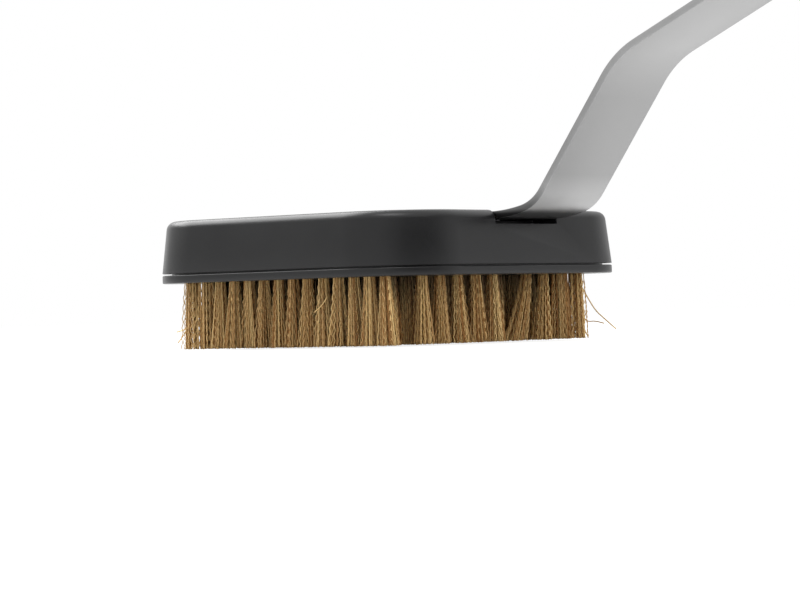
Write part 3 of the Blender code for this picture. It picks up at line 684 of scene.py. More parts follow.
# %% Geometry Nodes helpers
class Tree:
    """A Geometry Nodes tree with short calls for nodes, links and named inputs."""

    def __init__(self, name):
        self.group = bpy.data.node_groups.new(name, "GeometryNodeTree")
        for way in ("INPUT", "OUTPUT"):
            self.group.interface.new_socket(
                "Geometry", in_out=way, socket_type="NodeSocketGeometry"
            )
        self.given = self.group.nodes.new("NodeGroupInput")
        self.out = self.group.nodes.new("NodeGroupOutput")

    def setting(self, label, kind="NodeSocketFloat"):
        self.group.interface.new_socket(label, in_out="INPUT", socket_type=kind)
        return self.given.outputs[label]

    def feed(self, socket, value):
        if isinstance(value, bpy.types.NodeSocket):
            self.group.links.new(value, socket)
        else:
            socket.default_value = value

    def node(self, kind, settings=None, **inputs):
        node = self.group.nodes.new(kind)
        for key, value in (settings or {}).items():
            setattr(node, key, value)
        for label, value in inputs.items():
            self.feed(node.inputs[label.replace("_", " ")], value)
        return node

    def math(self, operation, first, second=0.0):
        node = self.group.nodes.new("ShaderNodeMath")
        node.operation = operation
        self.feed(node.inputs[0], first)
        self.feed(node.inputs[1], second)
        return node.outputs[0]

    def vector_math(self, operation, first, second):
        node = self.group.nodes.new("ShaderNodeVectorMath")
        node.operation = operation
        self.feed(node.inputs[0], first)
        self.feed(node.inputs["Scale" if operation == "SCALE" else 1], second)
        return node.outputs[0]

    def random(self, low, high, seed):
        node = self.group.nodes.new("FunctionNodeRandomValue")
        node.data_type = "FLOAT"
        floats = [socket for socket in node.inputs if socket.type == "VALUE"]
        self.feed(floats[0], low)
        self.feed(floats[1], high)
        self.feed(node.inputs["Seed"], seed)
        return node.outputs[1]

    def store(self, geometry, label, value):
        node = self.group.nodes.new("GeometryNodeStoreNamedAttribute")
        node.data_type = "FLOAT"
        node.domain = "POINT"
        node.inputs["Name"].default_value = label
        self.feed(node.inputs["Geometry"], geometry)
        self.feed(node.inputs["Value"], value)
        return node.outputs["Geometry"]

    def read(self, label, kind="FLOAT"):
        node = self.group.nodes.new("GeometryNodeInputNamedAttribute")
        node.data_type = kind
        node.inputs["Name"].default_value = label
        return node.outputs["Attribute"]

    def finish(self, last, material):
        """Every tree ends in Set Material."""
        coated = self.node(
            "GeometryNodeSetMaterial", Geometry=last.outputs[0], Material=material
        )
        self.feed(self.out.inputs[0], coated.outputs[0])
        return self.group

    def vector(self, x, y, z):
        node = self.group.nodes.new("ShaderNodeCombineXYZ")
        for socket, value in zip(node.inputs, (x, y, z)):
            self.feed(socket, value)
        return node.outputs[0]


def set_inputs(modifier, values):
    """Sets a modifier's inputs by their labels, through the sockets' identifiers."""
    for item in modifier.node_group.interface.items_tree:
        if item.item_type == "SOCKET" and item.in_out == "INPUT" and item.name in values:
            modifier[item.identifier] = values[item.name]


# %% [markdown]
# The wire's fan: at its root a wire stands at its own place in the round hole, and at its
# tip that same place is stretched to the spread of the tuft. The crimp is a sine wave
# along the wire, with its own direction and phase, that fades out inside the hole. Each
# wire starts as a line one metre long, and the offset lifts its tip to its true length.

# %% The tuft tree
def make_tuft_tree():
    tree = Tree("crimped_tufts")
    wires = tree.setting("Wires per tuft", "NodeSocketInt")
    points = tree.setting("Points per wire", "NodeSocketInt")
    length = tree.setting("Wire length")
    shortfall = tree.setting("Tip shortfall")
    radius = tree.setting("Wire radius")
    spread = tree.setting("Tip spread")
    crimp = tree.setting("Crimp size")
    waves = tree.setting("Crimp waves")
    seed = tree.setting("Seed", "NodeSocketInt")
    brass = tree.setting("Brass", "NodeSocketMaterial")

    tufts = tree.node("GeometryNodeMeshToPoints", Mesh=tree.given.outputs["Geometry"])
    copies = tree.node(
        "GeometryNodeDuplicateElements",
        {"domain": "POINT"},
        Geometry=tufts.outputs[0],
        Amount=wires,
    )

    def draw(low, high, offset):
        return tree.random(low, high, tree.math("ADD", seed, float(offset)))

    turn = draw(0.0, 2 * math.pi, 1)
    reach = tree.math("SQRT", draw(0.0, 1.0, 2))
    cloud = copies.outputs["Geometry"]
    cloud = tree.store(cloud, "side_x", tree.math("MULTIPLY", tree.math("COSINE", turn), reach))
    cloud = tree.store(cloud, "side_y", tree.math("MULTIPLY", tree.math("SINE", turn), reach))
    cloud = tree.store(cloud, "phase", draw(0.0, 2 * math.pi, 3))
    cloud = tree.store(cloud, "bend", draw(0.0, 2 * math.pi, 4))
    cloud = tree.store(cloud, "swing", draw(*SWING, 5))
    cloud = tree.store(cloud, "short", draw(0.0, 1.0, 6))
    cloud = tree.store(cloud, "wire_tint", draw(0.0, 1.0, 7))
    cloud = tree.store(cloud, "crimp_share", draw(*CRIMP_SHARE, 8))

    line = tree.node("GeometryNodeCurvePrimitiveLine", End=(0.0, 0.0, -1.0))
    line = tree.node("GeometryNodeResampleCurve", Curve=line.outputs[0], Count=points)
    wire = tree.node("GeometryNodeInstanceOnPoints", Points=cloud, Instance=line.outputs[0])
    wire = tree.node("GeometryNodeRealizeInstances", Geometry=wire.outputs[0])

    along = tree.node("GeometryNodeSplineParameter").outputs["Factor"]
    opening = tree.math("POWER", along, tree.read("opening"))
    fan = tree.math("MULTIPLY", opening, tree.math("MULTIPLY", spread, tree.read("swing")))
    closed = tree.math("SUBTRACT", 1.0, opening)
    fan = tree.math("ADD", fan, tree.math("MULTIPLY", tree.read("root"), closed))
    wave = tree.math("MULTIPLY", along, tree.math("MULTIPLY", waves, 2 * math.pi))
    wave = tree.math("SINE", tree.math("ADD", wave, tree.read("phase")))
    fade = tree.math("MINIMUM", tree.math("MULTIPLY", along, CRIMP_GROWTH), 1.0)
    wave = tree.math("MULTIPLY", wave, tree.math("MULTIPLY", fade, crimp))
    wave = tree.math("MULTIPLY", wave, tree.read("crimp_share"))
    bend = tree.read("bend")

    def sideways(axis, part):
        """Fan, crimp and lean of a wire along one axis."""
        move = tree.math("MULTIPLY", fan, tree.read(f"side_{axis}"))
        crimped = tree.math("MULTIPLY", wave, tree.math(part, bend))
        lean = tree.math("MULTIPLY", opening, tree.read(f"lean_{axis}"))
        return tree.math("ADD", tree.math("ADD", move, crimped), lean)

    drop = tree.math("SUBTRACT", length, tree.math("MULTIPLY", shortfall, tree.read("short")))
    z = tree.math("MULTIPLY", along, tree.math("SUBTRACT", 1.0, drop))
    offset = tree.vector(sideways("x", "COSINE"), sideways("y", "SINE"), z)
    moved = tree.node("GeometryNodeSetPosition", Geometry=wire.outputs[0], Offset=offset)
    # Painted shade: darkest at the root, fading out along the wire, as strong as the tuft's
    # shade value.
    light = tree.math("MULTIPLY", along, PAINTED_SHADE_FADE)
    shade = tree.math("MAXIMUM", tree.math("SUBTRACT", 1.0, light), 0.0)
    shade = tree.math("MULTIPLY", shade, tree.read("shade"))
    shaded = tree.store(moved.outputs[0], "wire_painted_shade", shade)

    ring = tree.node("GeometryNodeCurvePrimitiveCircle", Resolution=WIRE_SIDES, Radius=radius)
    round_wire = tree.node(
        "GeometryNodeCurveToMesh",
        Curve=shaded,
        Profile_Curve=ring.outputs[0],
        Fill_Caps=True,
    )
    return tree.finish(round_wire, brass)


TUFT_TREE = make_tuft_tree()

# %% [markdown]
# No tuft stands quite straight. The tufts beside the two empty holes have opened into the
# space, as they do in the photograph, and the rest lean a little at random. The tufts of the
# two sides in the photograph are tight, and those of the two other sides are looser by guess.
# `root` is the tuft's radius at its hole, `opening` the power at which it fans out towards its
# tip, and `shade` how much painted shade darkens its roots.

# %% Rows of tufts
import random

LEAN = 0.5 * MM
TIGHT = {"root": 1.6 * MM, "opening": 1.3, "shade": 0.0}
LOOSE = {"root": HOLE_RADIUS - WIRE_RADIUS, "opening": 0.55, "shade": 0.0}
# The inner tufts get painted shade at their roots.
INNER = {**LOOSE, "shade": 1.0}
END_TUFTS = {
    (0, 0): {"root": 2.15 * MM, "opening": 0.7, "shade": 0.0},
    (1, 0): LOOSE,
    (13, 10): LOOSE,
    (13, 11): LOOSE,
}
OPENED_TUFTS = {
    (13, 8): (0.0, -6.0 * MM),
    (13, 9): (0.0, -2.5 * MM),
    (13, 10): (0.0, 0.6 * MM),
    (13, 2): (0.0, -1.0 * MM),
    (0, 1): (0.0, -1.5 * MM),
}


def tuft_kind(row, column):
    """Inner tufts first, then the four sides, but for the tufts near two corners."""
    if 0 < row < ROWS - 1 and 0 < column < COLUMNS - 1:
        return INNER
    usual = TIGHT if row == ROWS - 1 or column == 0 else LOOSE
    return END_TUFTS.get((row, column), usual)


def make_tuft_row(row):
    chance = random.Random(SEED + row)
    mesh = bpy.data.meshes.new("tuft_points")
    own = [hole for hole in TUFTS if hole[0] == row]
    mesh.from_pydata([hole_place(*hole) + Vector((0, 0, SINK)) for hole in own], [], [])
    for label in TIGHT:
        values = mesh.attributes.new(label, "FLOAT", "POINT")
        for count, hole in enumerate(own):
            values.data[count].value = tuft_kind(*hole)[label]
    for axis, label in enumerate(("lean_x", "lean_y")):
        leans = mesh.attributes.new(label, "FLOAT", "POINT")
        for count, hole in enumerate(own):
            opened = OPENED_TUFTS.get(hole, (0.0, 0.0))[axis]
            leans.data[count].value = opened + chance.uniform(-LEAN, LEAN)
    source = link(bpy.data.objects.new("tuft_points", mesh))
    modifier = source.modifiers.new("tufts", "NODES")
    modifier.node_group = TUFT_TREE
    set_inputs(
        modifier,
        {
            "Wires per tuft": WIRES_PER_TUFT,
            "Points per wire": WIRE_POINTS,
            "Wire length": PLATE_FACE + SINK - WIRE_RADIUS,
            "Tip shortfall": TIP_SHORTFALL,
            "Wire radius": WIRE_RADIUS,
            "Tip spread": TIP_SPREAD,
            "Crimp size": CRIMP_SIZE,
            "Crimp waves": CRIMP_WAVES,
            "Seed": SEED * 100 + row,
            "Brass": BRASS,
        },
    )
    tufts = bake_piece(source, f"brass_tufts_{row + 1:02d}", ALL_SMOOTH)
    return dress(tufts, BRASS, "brass_wire", f"bristle_row_{row + 1:02d}")


TUFT_ROWS = [make_tuft_row(row) for row in range(ROWS)]

# %% [markdown]
# A few wires have sprung out of their tufts at the head's corners and front. Each is a
# short curve from its hole, down inside the tuft and then out of it. The points are in
# millimetres: x and y from the hole, z from the plane of the tips.

# %% Stray wires
STRAY_RADIUS = 0.19 * MM
STRAY_TINT = 0.8
STRAY_WIRES = {
    (13, 11): (
        ((0.5, 0.9, 18.5), (2.1, 1.7, 15.2), (3.5, 1.7, 12.9))
        + ((6.3, 1.7, 9.0), (9.1, 1.7, 6.8), (14.2, 1.7, 3.0)),
        ((0.4, 0.8, 14.0), (1.2, 1.5, 8.5), (1.8, 1.7, 6.4))
        + ((3.4, 1.7, 5.4), (6.2, 1.7, 5.7), (9.6, 1.7, 4.8)),
        ((0.4, 0.9, 12.0), (0.9, 1.6, 6.0), (1.5, 1.7, 5.6), (2.0, 1.7, 7.6), (3.1, 1.7, 8.9)),
        ((0.5, 0.6, 14.0), (1.0, 1.2, 6.0), (1.9, 1.6, 2.6), (3.2, 1.7, 0.4)),
    ),
    (0, 0): (
        ((1.2, -0.6, 16.0), (3.4, -1.2, 10.0), (1.4, -1.7, 7.8))
        + ((-1.7, -1.7, 6.5), (-5.6, -1.7, 5.7)),
        ((0.2, -0.6, 14.0), (-0.8, -1.4, 7.6), (-3.1, -1.7, 4.1), (-5.3, -1.7, 2.3)),
    ),
    (9, 0): (
        ((1.6, -0.8, 17.0), (2.9, -1.6, 15.4), (1.1, -2.2, 12.9))
        + ((-0.6, -2.2, 11.7), (-2.2, -2.2, 10.7)),
    ),
}


def make_stray_wires():
    curve = bpy.data.curves.new("stray_wires", "CURVE")
    curve.dimensions = "3D"
    curve.bevel_depth = STRAY_RADIUS
    curve.bevel_resolution = 1
    curve.use_fill_caps = True
    for hole, wires in STRAY_WIRES.items():
        root = hole_place(*hole)
        for wire in wires:
            places = [root + Vector((0, 0, SINK))]
            places += [Vector((root.x + x * MM, root.y + y * MM, z * MM)) for x, y, z in wire]
            spline = curve.splines.new("NURBS")
            spline.points.add(len(places) - 1)
            for point, place in zip(spline.points, places):
                point.co = (*place, 1)
            spline.order_u = 3
            spline.use_endpoint_u = True
            spline.resolution_u = 6
    print("stray wires:", len(curve.splines))
    source = link(bpy.data.objects.new("stray_wires", curve))
    wires = bake_piece(source, "stray_wires", ALL_SMOOTH)
    shape = bmesh.new()
    shape.from_mesh(wires.data)
    bmesh.ops.remove_doubles(shape, verts=shape.verts, dist=MERGE)
    shape.to_mesh(wires.data)
    shape.free()
    tints = wires.data.attributes.new("wire_tint", "FLOAT", "POINT")
    tints.data.foreach_set("value", [STRAY_TINT] * len(tints.data))
    return dress(wires, BRASS, "brass_wire")


stray_wires = make_stray_wires()

# %% [markdown]
# ## The handle strip
# A strip like this is cut flat, with its holes, and then bent. It is made here the same
# way: a flat blank, cross-cut finely where it will bend, and a Geometry Nodes tree that
# wraps the blank along the bend line.

# %% Bend line
BED_LENGTH = HOUSING_HIGH.x - STRIP_LOW.x
BEND_INSET = 4.05 * MM
EASING_RADIUS = 53.5 * MM
EASING_ANGLE = 13.0 * DEGREE
RISE_RADIUS = 12.65 * MM
RISE_ANGLE = 53.5 * DEGREE
RISE_STRAIGHT = 40.08 * MM
RETURN_RADIUS = 30.3 * MM
HANDLE_ANGLE = 24.1 * DEGREE
HANDLE_STRAIGHT = 236.0 * MM
STRIP_RUNS = (
    (BED_LENGTH - BEND_INSET, 0.0),
    (EASING_RADIUS * EASING_ANGLE, 1 / EASING_RADIUS),
    (RISE_RADIUS * (RISE_ANGLE - EASING_ANGLE), 1 / RISE_RADIUS),
    (RISE_STRAIGHT, 0.0),
    (RETURN_RADIUS * (RISE_ANGLE - HANDLE_ANGLE), -1 / RETURN_RADIUS),
    (HANDLE_STRAIGHT, 0.0),
)
STRIP_LENGTH = sum(length for length, _ in STRIP_RUNS)
print("strip, measured flat:", round(STRIP_LENGTH / MM, 1), "mm")


def strip_point(distance):
    """(place, slope) of the strip's upper face at a distance from its root."""
    x, z, slope = STRIP_LOW.x, STRIP_TOP, 0.0
    for length, curvature in STRIP_RUNS:
        step = min(distance, length)
        turned = slope + curvature * step
        if curvature:
            x += (math.sin(turned) - math.sin(slope)) / curvature
            z += (math.cos(slope) - math.cos(turned)) / curvature
        else:
            x += step * math.cos(slope)
            z += step * math.sin(slope)
        slope = turned
        distance -= step
        if distance <= 0:
            break
    return Vector((x, 0, z)), slope


# %% [markdown]
# The blank is an outline grown to the sheet's thickness. The grip's scales further down
# start in the same way, so the growing is a helper.

# %% Flat blank
ROOT_CORNER = 3.0 * MM
HANG_HOLE_RADIUS = 6.0 * MM
BLANK_EDGE = 0.3 * MM
OUTLINE_STEPS = 24


def quarter_turn(steps):
    return [step / steps * math.pi / 2 for step in range(steps + 1)]


def grow_outline(points, depth):
    shape = bmesh.new()
    face = shape.faces.new([shape.verts.new((x, y, 0)) for x, y in points])
    grown = bmesh.ops.extrude_face_region(shape, geom=[face])["geom"]
    moved = [part for part in grown if isinstance(part, bmesh.types.BMVert)]
    bmesh.ops.translate(shape, verts=moved, vec=(0, 0, depth))
    return shape


def blank_outline():
    """Points round the flat blank: small corners at the root, a round far end."""
    half = STRIP_WIDTH / 2
    upper = []
    for t in quarter_turn(OUTLINE_STEPS):
        y = half - ROOT_CORNER * (1 - math.sin(t))
        upper.append((ROOT_CORNER * (1 - math.cos(t)), y))
    for t in quarter_turn(OUTLINE_STEPS):
        upper.append((STRIP_LENGTH - half + half * math.sin(t), half * math.cos(t)))
    upper.pop()
    return upper + [(STRIP_LENGTH, 0.0)] + [(x, -y) for x, y in reversed(upper)]


def blank_hole(name, distance, radius):
    depth = STRIP_THICKNESS + 2 * OVERRUN
    place = Matrix.Translation((distance, 0, -STRIP_THICKNESS / 2))
    return cylinder(name, radius, depth, place)


def screw_hole(count):
    low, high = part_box(f"handle_screw_{count}")
    radius = (high.x - low.x) / 2 + FIT_GAP
    return blank_hole(f"screw_hole_{count}", (low.x + high.x) / 2 - STRIP_LOW.x, radius)


def make_blank():
    blank = object_from(grow_outline(blank_outline(), -STRIP_THICKNESS), "blank")
    hang = blank_hole("hang", STRIP_LENGTH - STRIP_WIDTH / 2, HANG_HOLE_RADIUS)
    holes = [hang] + [screw_hole(count) for count in (1, 2)]
    cut_with(blank, *holes)
    round_edges(blank, BLANK_EDGE)
    blank = bake_piece(blank, "blank")
    discard(*holes)
    return blank


# %% [markdown]
# Cross-cuts give the blank points where it bends. Without them the bends would show as
# a few flat facets.

# %% Cross-cuts and the wrapping tree
BEND_STEP = 1.0 * MM
STRAIGHT_STEP = 20.0 * MM
BEND_LINE_STEP = 0.25 * MM


def cross_cut(blank):
    shape = bmesh.new()
    shape.from_mesh(blank.data)
    start = 0.0
    for length, curvature in STRIP_RUNS:
        steps = max(1, round(length / (BEND_STEP if curvature else STRAIGHT_STEP)))
        for step in range(1, steps + 1):
            place = (start + length * step / steps, 0, 0)
            geom = shape.verts[:] + shape.edges[:] + shape.faces[:]
            bmesh.ops.bisect_plane(
                shape, geom=geom, plane_co=place, plane_no=(1, 0, 0), dist=MERGE
            )
        start += length
    bmesh.ops.triangulate(shape, faces=[f for f in shape.faces if len(f.verts) > 4])
    shape.to_mesh(blank.data)
    shape.free()


def make_wrap_tree():
    """Moves each point of a flat blank to the same distance along a bend line."""
    tree = Tree("wrap_along_bend_line")
    bend_line = tree.setting("Bend line", "NodeSocketObject")
    finish = tree.setting("Finish", "NodeSocketMaterial")
    line = tree.node(
        "GeometryNodeObjectInfo", {"transform_space": "RELATIVE"}, Object=bend_line
    )
    place = tree.node("GeometryNodeInputPosition").outputs[0]
    flat = tree.node("ShaderNodeSeparateXYZ", Vector=place)
    sample = tree.group.nodes.new("GeometryNodeSampleCurve")
    sample.mode = "LENGTH"
    tree.feed(sample.inputs["Curves"], line.outputs["Geometry"])
    tree.feed(sample.inputs["Length"], flat.outputs["X"])
    tangent = tree.node("ShaderNodeSeparateXYZ", Vector=sample.outputs["Tangent"])
    back = tree.math("MULTIPLY", tangent.outputs["Z"], -1.0)
    outward = tree.vector(back, 0.0, tangent.outputs["X"])
    raised = tree.vector_math("SCALE", outward, flat.outputs["Z"])
    across = tree.vector(0.0, flat.outputs["Y"], 0.0)
    raised = tree.vector_math("ADD", sample.outputs["Position"], raised)
    moved = tree.node(
        "GeometryNodeSetPosition",
        Geometry=tree.given.outputs["Geometry"],
        Position=tree.vector_math("ADD", raised, across),
    )
    return tree.finish(moved, finish)


def make_bend_line():
    curve = bpy.data.curves.new("bend_line", "CURVE")
    curve.dimensions = "3D"
    places = []
    start = 0.0
    for length, curvature in STRIP_RUNS:
        steps = round(length / BEND_LINE_STEP) if curvature else 1
        places += [start + length * step / steps for step in range(steps)]
        start += length
    places.append(start)
    spline = curve.splines.new("POLY")
    spline.points.add(len(places) - 1)
    for point, distance in zip(spline.points, places):
        point.co = (*strip_point(distance)[0], 1)
    return link(bpy.data.objects.new("bend_line", curve))


def make_strip():
    blank = make_blank()
    cross_cut(blank)
    bend_line = make_bend_line()
    modifier = blank.modifiers.new("wrap", "NODES")
    modifier.node_group = make_wrap_tree()
    set_inputs(modifier, {"Bend line": bend_line, "Finish": SATIN_STEEL})
    strip = bake_piece(blank, "stainless_strip")
    discard(bend_line)
    return dress(strip, SATIN_STEEL, "satin_stainless", "handle_strip")


stainless_strip = make_strip()

# %% [markdown]
# ## Grip and rivets
# The grip is two moulded scales, one on each side of the strip. Each scale is an outline
# that swells in the middle, grown to its thickness, with its outer edge well rounded.

# %% Grip scales
GRIP_START, GRIP_SLOPE = strip_point(STRIP_LENGTH - HANDLE_STRAIGHT)
GRIP_LENGTH = 124.0 * MM
GRIP_FRONT = 85.0 * MM
GRIP_PROUD = 0.5 * MM
GRIP_SWELL = 3.0 * MM
GRIP_THICKNESS = 9.0 * MM
GRIP_END_RADIUS = 12.0 * MM
GRIP_EDGE = 5.0 * MM
GRIP_EDGE_STEPS = 10
GRIP_FOOT_EDGE = 0.5 * MM
GRIP_END_STEPS = 16
GRIP_SIDE_STEPS = 32
TO_HANDLE = Matrix.Translation(GRIP_START) @ Matrix.Rotation(-GRIP_SLOPE, 4, "Y")


def grip_outline():
    half = STRIP_WIDTH / 2 + GRIP_PROUD
    straight = GRIP_LENGTH - 2 * GRIP_END_RADIUS
    front, side, back = [], [], []
    for t in quarter_turn(GRIP_END_STEPS)[1:]:
        x, y = GRIP_END_RADIUS * (1 - math.sin(t)), half - GRIP_END_RADIUS * (1 - math.cos(t))
        front.insert(0, (x, y))
        back.append((GRIP_LENGTH - x, y))
    for step in range(GRIP_SIDE_STEPS + 1):
        share = step / GRIP_SIDE_STEPS
        swell = GRIP_SWELL * math.sin(math.pi * share) ** 2 / 2
        side.append((GRIP_END_RADIUS + straight * share, half + swell))
    upper = front + side + back
    return upper + [(x, -y) for x, y in reversed(upper)]


def make_scale(name, side, node):
    shape = grow_outline(grip_outline(), GRIP_THICKNESS)
    bmesh.ops.recalc_face_normals(shape, faces=shape.faces)
    round_level(shape, GRIP_THICKNESS, GRIP_EDGE, GRIP_EDGE_STEPS)
    round_level(shape, 0, GRIP_FOOT_EDGE, FINE_STEPS)
    seat = FIT_GAP if side > 0 else -STRIP_THICKNESS - FIT_GAP
    flip = Matrix.Diagonal((1, 1, side, 1))
    place = TO_HANDLE @ Matrix.Translation((GRIP_FRONT, 0, seat)) @ flip
    bmesh.ops.transform(shape, matrix=place, verts=shape.verts)
    scale = object_from(shape, "scale")
    wells = [rivet_well(count, side) for count in range(3)]
    cut_with(scale, *wells)
    scale = bake_piece(scale, name)
    discard(*wells)
    return dress(scale, BLACK_PLASTIC, "black_plastic", node)


RIVET_HEAD_RADIUS = 4.4 * MM
RIVET_SINK = 1.1 * MM
RIVET_END_DISTANCE = 19.0 * MM
RIVET_PLACES = [
    GRIP_FRONT + RIVET_END_DISTANCE + (GRIP_LENGTH - 2 * RIVET_END_DISTANCE) * count / 2
    for count in range(3)
]


def rivet_well(count, side):
    outer = FIT_GAP + GRIP_THICKNESS
    outer = outer if side > 0 else -STRIP_THICKNESS - outer
    middle = outer - side * (RIVET_SINK - OVERRUN) / 2
    place = TO_HANDLE @ Matrix.Translation((RIVET_PLACES[count], 0, middle))
    radius = RIVET_HEAD_RADIUS + FIT_GAP
    return cylinder(f"rivet_well_{count}", radius, RIVET_SINK + OVERRUN, place)


upper_scale = make_scale("grip_scale_upper", 1, "grip_upper")
lower_scale = make_scale("grip_scale_lower", -1, "grip_lower")

# %% [markdown]
# Rivets repeat, so one Geometry Nodes tree sets a turned head on every point it is given.
# The points are the ends of the rivets, on both sides of the grip.

# %% Rivet heads
HEAD_STEPS = 48
DOME_HEIGHT = 1.5 * MM
RIM_HEIGHT = 0.35 * MM
DOME_STEPS = 10


def turned_head(name, profile):
    """A closed turned shape from (radius, height) points, axis upwards."""
    shape = bmesh.new()
    line = [shape.verts.new((radius, 0, height)) for radius, height in profile]
    edges = [shape.edges.new(pair) for pair in zip(line, line[1:])]
    bmesh.ops.spin(
        shape,
        geom=line + edges,
        cent=(0, 0, 0),
        axis=(0, 0, 1),
        angle=2 * math.pi,
        steps=HEAD_STEPS,
        use_merge=True,
        use_duplicate=False,
    )
    bmesh.ops.remove_doubles(shape, verts=shape.verts, dist=MERGE)
    return object_from(shape, name)


def make_head_tree():
    """Sets one head on every point, along the point's stored direction."""
    tree = Tree("heads_on_points")
    head = tree.setting("Head", "NodeSocketObject")
    finish = tree.setting("Finish", "NodeSocketMaterial")
    shape = tree.node("GeometryNodeObjectInfo", {"transform_space": "ORIGINAL"}, Object=head)
    aim = tree.read("aim", "FLOAT_VECTOR")
    aim = tree.node("FunctionNodeAlignRotationToVector", {"axis": "Z"}, Vector=aim)
    heads = tree.node(
        "GeometryNodeInstanceOnPoints",
        Points=tree.given.outputs["Geometry"],
        Instance=shape.outputs["Geometry"],
        Rotation=aim.outputs[0],
    )
    heads = tree.node("GeometryNodeRealizeInstances", Geometry=heads.outputs[0])
    return tree.finish(heads, finish)


HEAD_TREE = make_head_tree()


def set_heads(name, head, places, material, slot_name, nodes):
    """places holds (point, direction) pairs."""
    mesh = bpy.data.meshes.new("head_points")
    mesh.from_pydata([point for point, _ in places], [], [])
    aims = mesh.attributes.new("aim", "FLOAT_VECTOR", "POINT")
    for count, (_, direction) in enumerate(places):
        aims.data[count].vector = direction
    source = link(bpy.data.objects.new("head_points", mesh))
    modifier = source.modifiers.new("heads", "NODES")
    modifier.node_group = HEAD_TREE
    set_inputs(modifier, {"Head": head, "Finish": material})
    piece = bake_piece(source, name)
    discard(head)
    return dress(piece, material, slot_name, *nodes)


def rivet_profile():
    radius, dome = RIVET_HEAD_RADIUS, DOME_HEIGHT - RIM_HEIGHT
    arc = quarter_turn(DOME_STEPS)
    points = [(radius * math.sin(t), RIM_HEIGHT + dome * math.cos(t)) for t in arc]
    return points + [(radius, 0.0), (0.0, 0.0)]


def rivet_ends():
    ends = []
    outward = TO_HANDLE.to_3x3() @ Vector((0, 0, 1))
    for place in RIVET_PLACES:
        upper = 2 * FIT_GAP + GRIP_THICKNESS - RIVET_SINK
        ends.append((TO_HANDLE @ Vector((place, 0, upper)), outward))
        ends.append((TO_HANDLE @ Vector((place, 0, -STRIP_THICKNESS - upper)), -outward))
    return ends


rivet_heads = set_heads(
    "rivet_heads",
    turned_head("rivet_head", rivet_profile()),
    rivet_ends(),
    SATIN_STEEL,
    "satin_stainless",
    [f"grip_rivet_{count}" for count in (1, 2, 3)],
)

# %% [markdown]
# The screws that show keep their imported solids, because those already have their hex
# sockets and their true places, and only get a finer finish. So does the clamp plate.

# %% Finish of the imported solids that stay
KEPT = ("clamp_plate", "handle_screw_1", "handle_screw_2") + tuple(
    f"plate_screw_{count}" for count in range(1, 5)
)
for node in KEPT:
    solid = frame["nodes"][node]
    solid.data.materials.clear()
    solid.data.materials.append(SCREW_STEEL)
print("kept solids:", len(KEPT))

# %% [markdown]
# ## Floor and light
# The photograph is a cut-out on white, so the floor is a plain pale sheet that the camera
# sees as white but that still gives the brush its soft light from below.

# %% Floor and background
DIFFUSE_LEVEL = 0.7
FLOOR_GLOW = 0.84
MIRROR_GLOW = 0.08
PAPER = (0.68, 0.68, 0.68)
PAPER_UNDER_GLOW = (0.34, 0.34, 0.34)
PAPER_ROUGHNESS = 0.9
FLOOR_HALF = 3.0
FLOOR_DROP = 0.3 * MM


def seen_directly(tree):
    """1 for rays that come from the camera, from a mirror or through glass."""
    path = tree.nodes.new("ShaderNodeLightPath")
    seen = path.outputs["Is Camera Ray"]
    for ray in ("Is Glossy Ray", "Is Transmission Ray"):
        seen = add_math(tree, "MAXIMUM", seen, path.outputs[ray])
    return seen


def make_floor():
    shape = bmesh.new()
    bmesh.ops.create_grid(shape, x_segments=1, y_segments=1, size=FLOOR_HALF)
    floor = object_from(shape, "studio_floor", False)
    floor.location.z = -FLOOR_DROP
    material, tree, shader = new_material("studio_paper")
    shader.inputs["Roughness"].default_value = PAPER_ROUGHNESS
    shader.inputs["Specular IOR Level"].default_value = 0.0
    shader.inputs["Emission Color"].default_value = (1, 1, 1, 1)
    in_camera = tree.nodes.new("ShaderNodeLightPath").outputs["Is Camera Ray"]
    paper = blend_colors(tree, in_camera, PAPER, PAPER_UNDER_GLOW)
    tree.links.new(paper, shader.inputs["Base Color"])
    glow = add_math(tree, "MULTIPLY", seen_directly(tree), MIRROR_GLOW)
    extra = add_math(tree, "MULTIPLY", in_camera, FLOOR_GLOW - MIRROR_GLOW)
    glow = add_math(tree, "ADD", glow, extra)
    tree.links.new(glow, shader.inputs["Emission Strength"])
    floor.data.materials.append(material)
    return floor


def make_world():
    world = bpy.data.worlds.new("studio_white")
    world.use_nodes = True
    tree = world.node_tree
    background = tree.nodes["Background"]
    background.inputs["Color"].default_value = (1, 1, 1, 1)
    strength = add_math(tree, "MULTIPLY", seen_directly(tree), 1.0 - DIFFUSE_LEVEL)
    strength = add_math(tree, "ADD", strength, DIFFUSE_LEVEL)
    tree.links.new(strength, background.inputs["Strength"])
    bpy.context.scene.world = world


studio_floor = make_floor()
make_world()

# %% [markdown]
# In the photograph the head's near corner is dark, as if it mirrored an unlit side of the
# studio, where the camera stands. A curved black flag does that here. It is hidden from
# the camera and casts no shadow, so it shows in reflections only.

# %% Black flag
FLAG_RADIUS = 1.6
FLAG_FOOT = 0.4
FLAG_HEIGHT = 0.8
FLAG_LIFT = 1.0 * MM
FLAG_FROM = -190 * DEGREE
FLAG_FULL_FROM = -33 * DEGREE
FLAG_FULL_TO = -6 * DEGREE
FLAG_TO = 115 * DEGREE
FLAG_FADE = 56 * DEGREE
FLAG_THIN = 0.33
FLAG_STEPS = 61
FLAG_BLACK = (0.005, 0.005, 0.005, 1)
HEAD_MIDDLE = Vector((HEAD_X, 0, HOUSING_LOW.z))


def flag_cover(angle):
    """How much of the light the flag takes away: all in its middle, a third beside it."""
    away = max(FLAG_FULL_FROM - angle, angle - FLAG_FULL_TO, 0.0)
    return max(FLAG_THIN, 1.0 - away / FLAG_FADE)


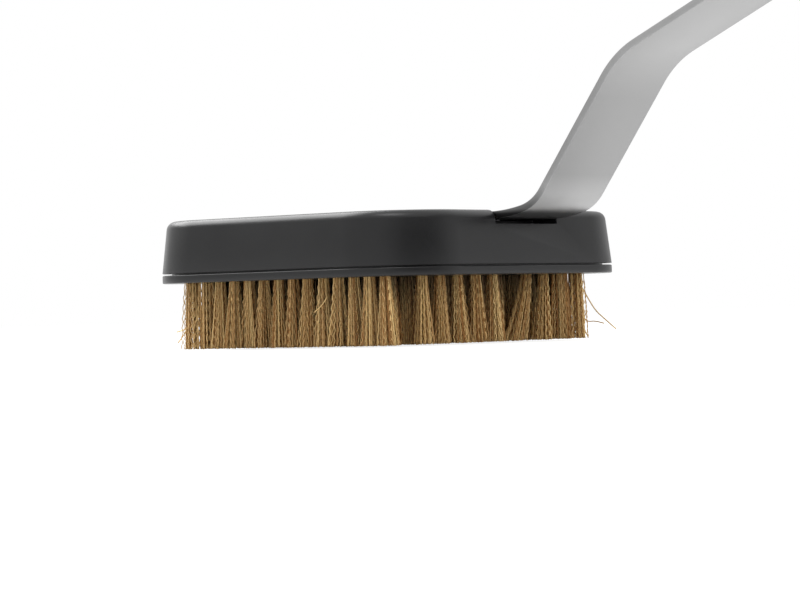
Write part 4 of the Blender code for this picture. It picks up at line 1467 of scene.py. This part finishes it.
def make_flag_cloth():
    material, tree, shader = new_material("black_flag_cloth")
    shader.inputs["Base Color"].default_value = FLAG_BLACK
    shader.inputs["Roughness"].default_value = 1.0
    shader.inputs["Specular IOR Level"].default_value = 0.0
    tree.links.new(read_attribute(tree, "cover"), shader.inputs["Alpha"])
    return material


def make_flag():
    profile = ((FLAG_FOOT, FLAG_LIFT), (FLAG_RADIUS, FLAG_LIFT), (FLAG_RADIUS, FLAG_HEIGHT))
    shape = bmesh.new()
    cover = shape.verts.layers.float.new("cover")
    columns = []
    for step in range(FLAG_STEPS + 1):
        angle = FLAG_FROM + (FLAG_TO - FLAG_FROM) * step / FLAG_STEPS
        column = []
        for reach, z in profile:
            x, y = HEAD_X + reach * math.cos(angle), reach * math.sin(angle)
            column.append(shape.verts.new((x, y, z)))
            column[-1][cover] = flag_cover(angle)
        columns.append(column)
    for first, second in zip(columns, columns[1:]):
        for low in range(len(profile) - 1):
            shape.faces.new((first[low], second[low], second[low + 1], first[low + 1]))
    flag = object_from(shape, "black_flag", False)
    flag.data.materials.append(make_flag_cloth())
    flag.visible_camera = flag.visible_diffuse = flag.visible_shadow = False
    return flag


black_flag = make_flag()

# %% [markdown]
# Three softboxes stand round the brush. The back one makes the bright line along the
# housing's upper edge, the front one lights the tufts, and the side one, which shows in
# no reflection, lights the walls. The first two don't light the steel, which would mirror
# them as white glare.

# %% Lamps
def add_softbox(name, offset, size, watts):
    """A rectangular lamp at an offset from the head, aimed at the head."""
    lamp = bpy.data.lights.new(name, "AREA")
    lamp.shape = "RECTANGLE"
    lamp.size, lamp.size_y = size
    lamp.energy = watts
    thing = link(bpy.data.objects.new(name, lamp))
    thing.location = HEAD_MIDDLE + Vector(offset)
    thing.rotation_euler = (-Vector(offset)).to_track_quat("-Z", "Y").to_euler()
    return thing


def keep_off_steel(lamp):
    """Light linking: the lamp lights all pieces but those of steel."""
    left_out = bpy.data.collections.new(f"{lamp.name}_left_out")
    steels = ([SATIN_STEEL], [SCREW_STEEL])
    for piece in bpy.data.objects:
        if piece.type == "MESH" and piece.data.materials[:1] in steels:
            left_out.objects.link(piece)
    for item in left_out.collection_objects:
        item.light_linking.link_state = "EXCLUDE"
    lamp.light_linking.receiver_collection = left_out


back_softbox = add_softbox(
    "back_softbox", offset=(-0.78, -0.04, 0.78), size=(1.05, 0.85), watts=12.5
)
front_softbox = add_softbox(
    "front_softbox", offset=(0.3, -0.5, 1.1), size=(0.4, 0.4), watts=2.5
)
side_softbox = add_softbox(
    "side_softbox", offset=(0.9, -0.15, 0.2), size=(0.5, 0.4), watts=5.2
)
side_softbox.visible_glossy = side_softbox.visible_camera = False
keep_off_steel(back_softbox)
keep_off_steel(front_softbox)
print("softboxes:", back_softbox.name, front_softbox.name, side_softbox.name)
bpy.context.scene.view_settings.view_transform = "Standard"
